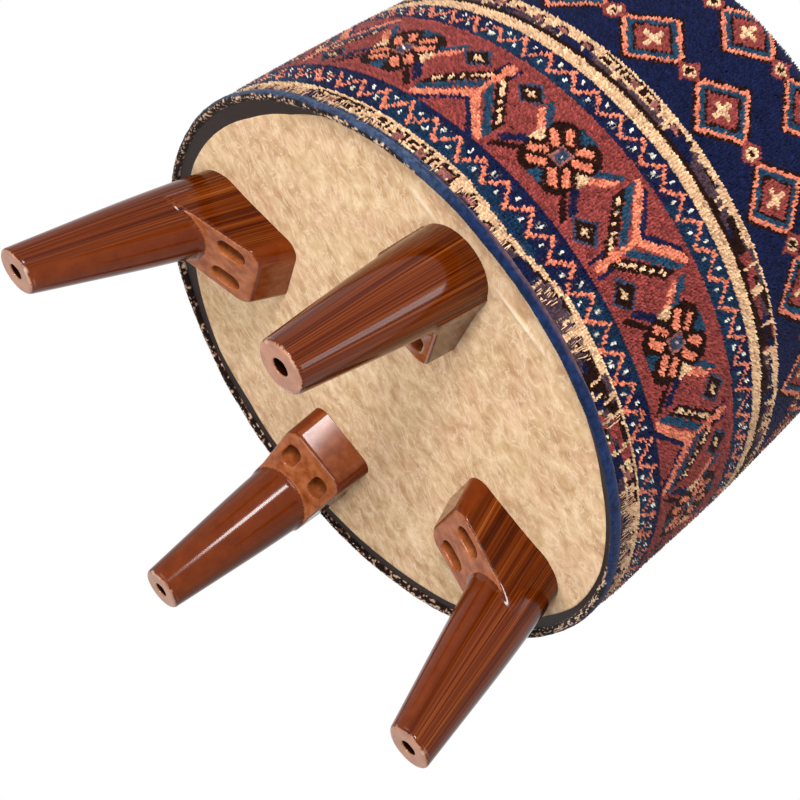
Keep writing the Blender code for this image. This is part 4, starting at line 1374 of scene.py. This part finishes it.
def swell(pad):
    # cloth with a little pressure, frozen into the mesh
    form = padding
    remesh = pad.modifiers.new("even", "REMESH")
    remesh.mode = "VOXEL"
    remesh.voxel_size = form["voxel"]
    bpy.context.view_layer.update()
    even = bpy.data.meshes.new_from_object(pad.evaluated_get(bpy.context.evaluated_depsgraph_get()))
    pad.modifiers.clear()
    pad.data = even
    start = np.empty(len(even.vertices) * 3)
    even.vertices.foreach_get("co", start)
    cloth = pad.modifiers.new("swell", "CLOTH")
    cloth.settings.use_pressure = True
    cloth.settings.uniform_pressure_force = form["pressure"]
    cloth.settings.effector_weights.gravity = 0
    scene = bpy.context.scene
    for step in range(1, form["frames"] + 1):
        scene.frame_set(step)
    swollen = bpy.data.meshes.new_from_object(pad.evaluated_get(bpy.context.evaluated_depsgraph_get()))
    pad.modifiers.clear()
    moved = np.empty(len(swollen.vertices) * 3)
    swollen.vertices.foreach_get("co", moved)
    move = (moved - start).reshape(-1, 3)
    length = np.linalg.norm(move, axis=1, keepdims=True)
    move *= np.minimum(1, form["most"] / np.maximum(length, 1e-9))
    swollen.vertices.foreach_set("co", (start.reshape(-1, 3) + move).ravel())
    swollen.update()
    swollen.shade_smooth()
    pad.data = swollen
    scene.frame_set(1)


def turnedPad(name, outline, material):
    # spins a closed outline of radius and height in millimetres
    count = padding["columns"]
    angle = turnAngles(count)
    rings = [around(np.full(count, max(radius, 0.5)), angle, height) / 1000 for radius, height in outline]
    return addPiece(name, np.concatenate(rings), ringFaces(len(rings), count, tube=True), material)


def addPadding():
    low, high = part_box("seat_foam")
    base, crown, rim = low.z * 1000 + 1, high.z * 1000 - 4, high.x * 1000
    outline = [(0, base), (rim - 6, base), (rim - 1.5, base + 5), (rim - 1.5, base + 18)]
    outline += [(rim - 10, base + 30), (rim * 0.75, crown - 7), (rim * 0.4, crown - 2), (0, crown)]
    foam = turnedPad("seatPad", outline, softFoam("foamCells", padding["foamColours"], 700.0))
    swell(foam)
    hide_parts("seat_foam")
    low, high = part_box("side_wadding")
    inner, outer = padding["wrapInside"], high.x * 1000
    foot, top = low.z * 1000, high.z * 1000
    outline = [(inner, foot), (outer - 3.6, foot), (outer - 2.6, foot * 0.7 + top * 0.3)]
    outline += [(outer - 3.2, foot * 0.3 + top * 0.7), (inner + 2.0, top), (inner, top)]
    wrap = turnedPad("waddingWrap", outline, softFoam("waddingFibre", padding["waddingColours"], 420.0))
    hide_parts("side_wadding")
    print("padding swollen")


# carcass and screws keep their CAD shapes

def woodGrain(name, dark, light, scale, stretch):
    material, shader = startMaterial(name, Roughness=0.7, Specular_IOR_Level=0.3)
    grain = noise(material, objectPlace(material, stretch), scale, 4.0, 0.6, 0.8)
    joinSocket(material, ramp(material, grain, [(0.3, dark), (0.7, light)]), shader.inputs["Base Color"])
    joinSocket(material, bump(material, grain, 0.2, 0.0008), shader.inputs["Normal"])
    return material


def screwSteel(name, dark, light):
    material, shader = startMaterial(name, Metallic=1.0)
    worn = noise(material, objectPlace(material), 800.0, 3.0, 0.6)
    joinSocket(material, ramp(material, worn, [(0.3, dark), (0.7, light)]), shader.inputs["Base Color"])
    rough = addNode(material, "ShaderNodeMapRange", {"Value": worn, "To Min": 0.3, "To Max": 0.55})
    joinSocket(material, rough.outputs["Result"], shader.inputs["Roughness"])
    return material


def dressCarcass():
    finishes = {
        "leg_screw": screwSteel("bronzedScrew", srgb(84, 54, 36), srgb(132, 92, 64)),
        "post_screw": screwSteel("zincScrew", srgb(150, 140, 120), srgb(196, 188, 170)),
        "post": woodGrain("postTimber", srgb(186, 142, 92), srgb(222, 184, 134), 60.0, (1, 1, 0.08)),
        "base_board": woodGrain("basePlywood", srgb(190, 148, 98), srgb(224, 188, 138), 40.0, (0.1, 1, 1)),
        "top_board": woodGrain("topPlywood", srgb(190, 148, 98), srgb(224, 188, 138), 40.0, (1, 0.1, 1)),
        "side_wall": woodGrain("hardboard", srgb(110, 74, 44), srgb(150, 108, 70), 300.0, (1, 1, 1)),
    }
    for name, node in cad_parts.items():
        for start, material in finishes.items():
            if name.startswith(start):
                node.data.materials.clear()
                node.data.materials.append(material)
                break


def main():
    addCamera()
    addBackdrop()
    addFloor()
    addLamps()
    addLegs()
    backing, piles, tall = addCarpetSide()
    seat, seatPile = addCarpetSeat(backing.data.materials[0])
    cord, specks, threads = addLip()
    panel = addSuedePanel()
    tape = addHemTape()
    addPadding()
    dressCarcass()

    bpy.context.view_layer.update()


main()
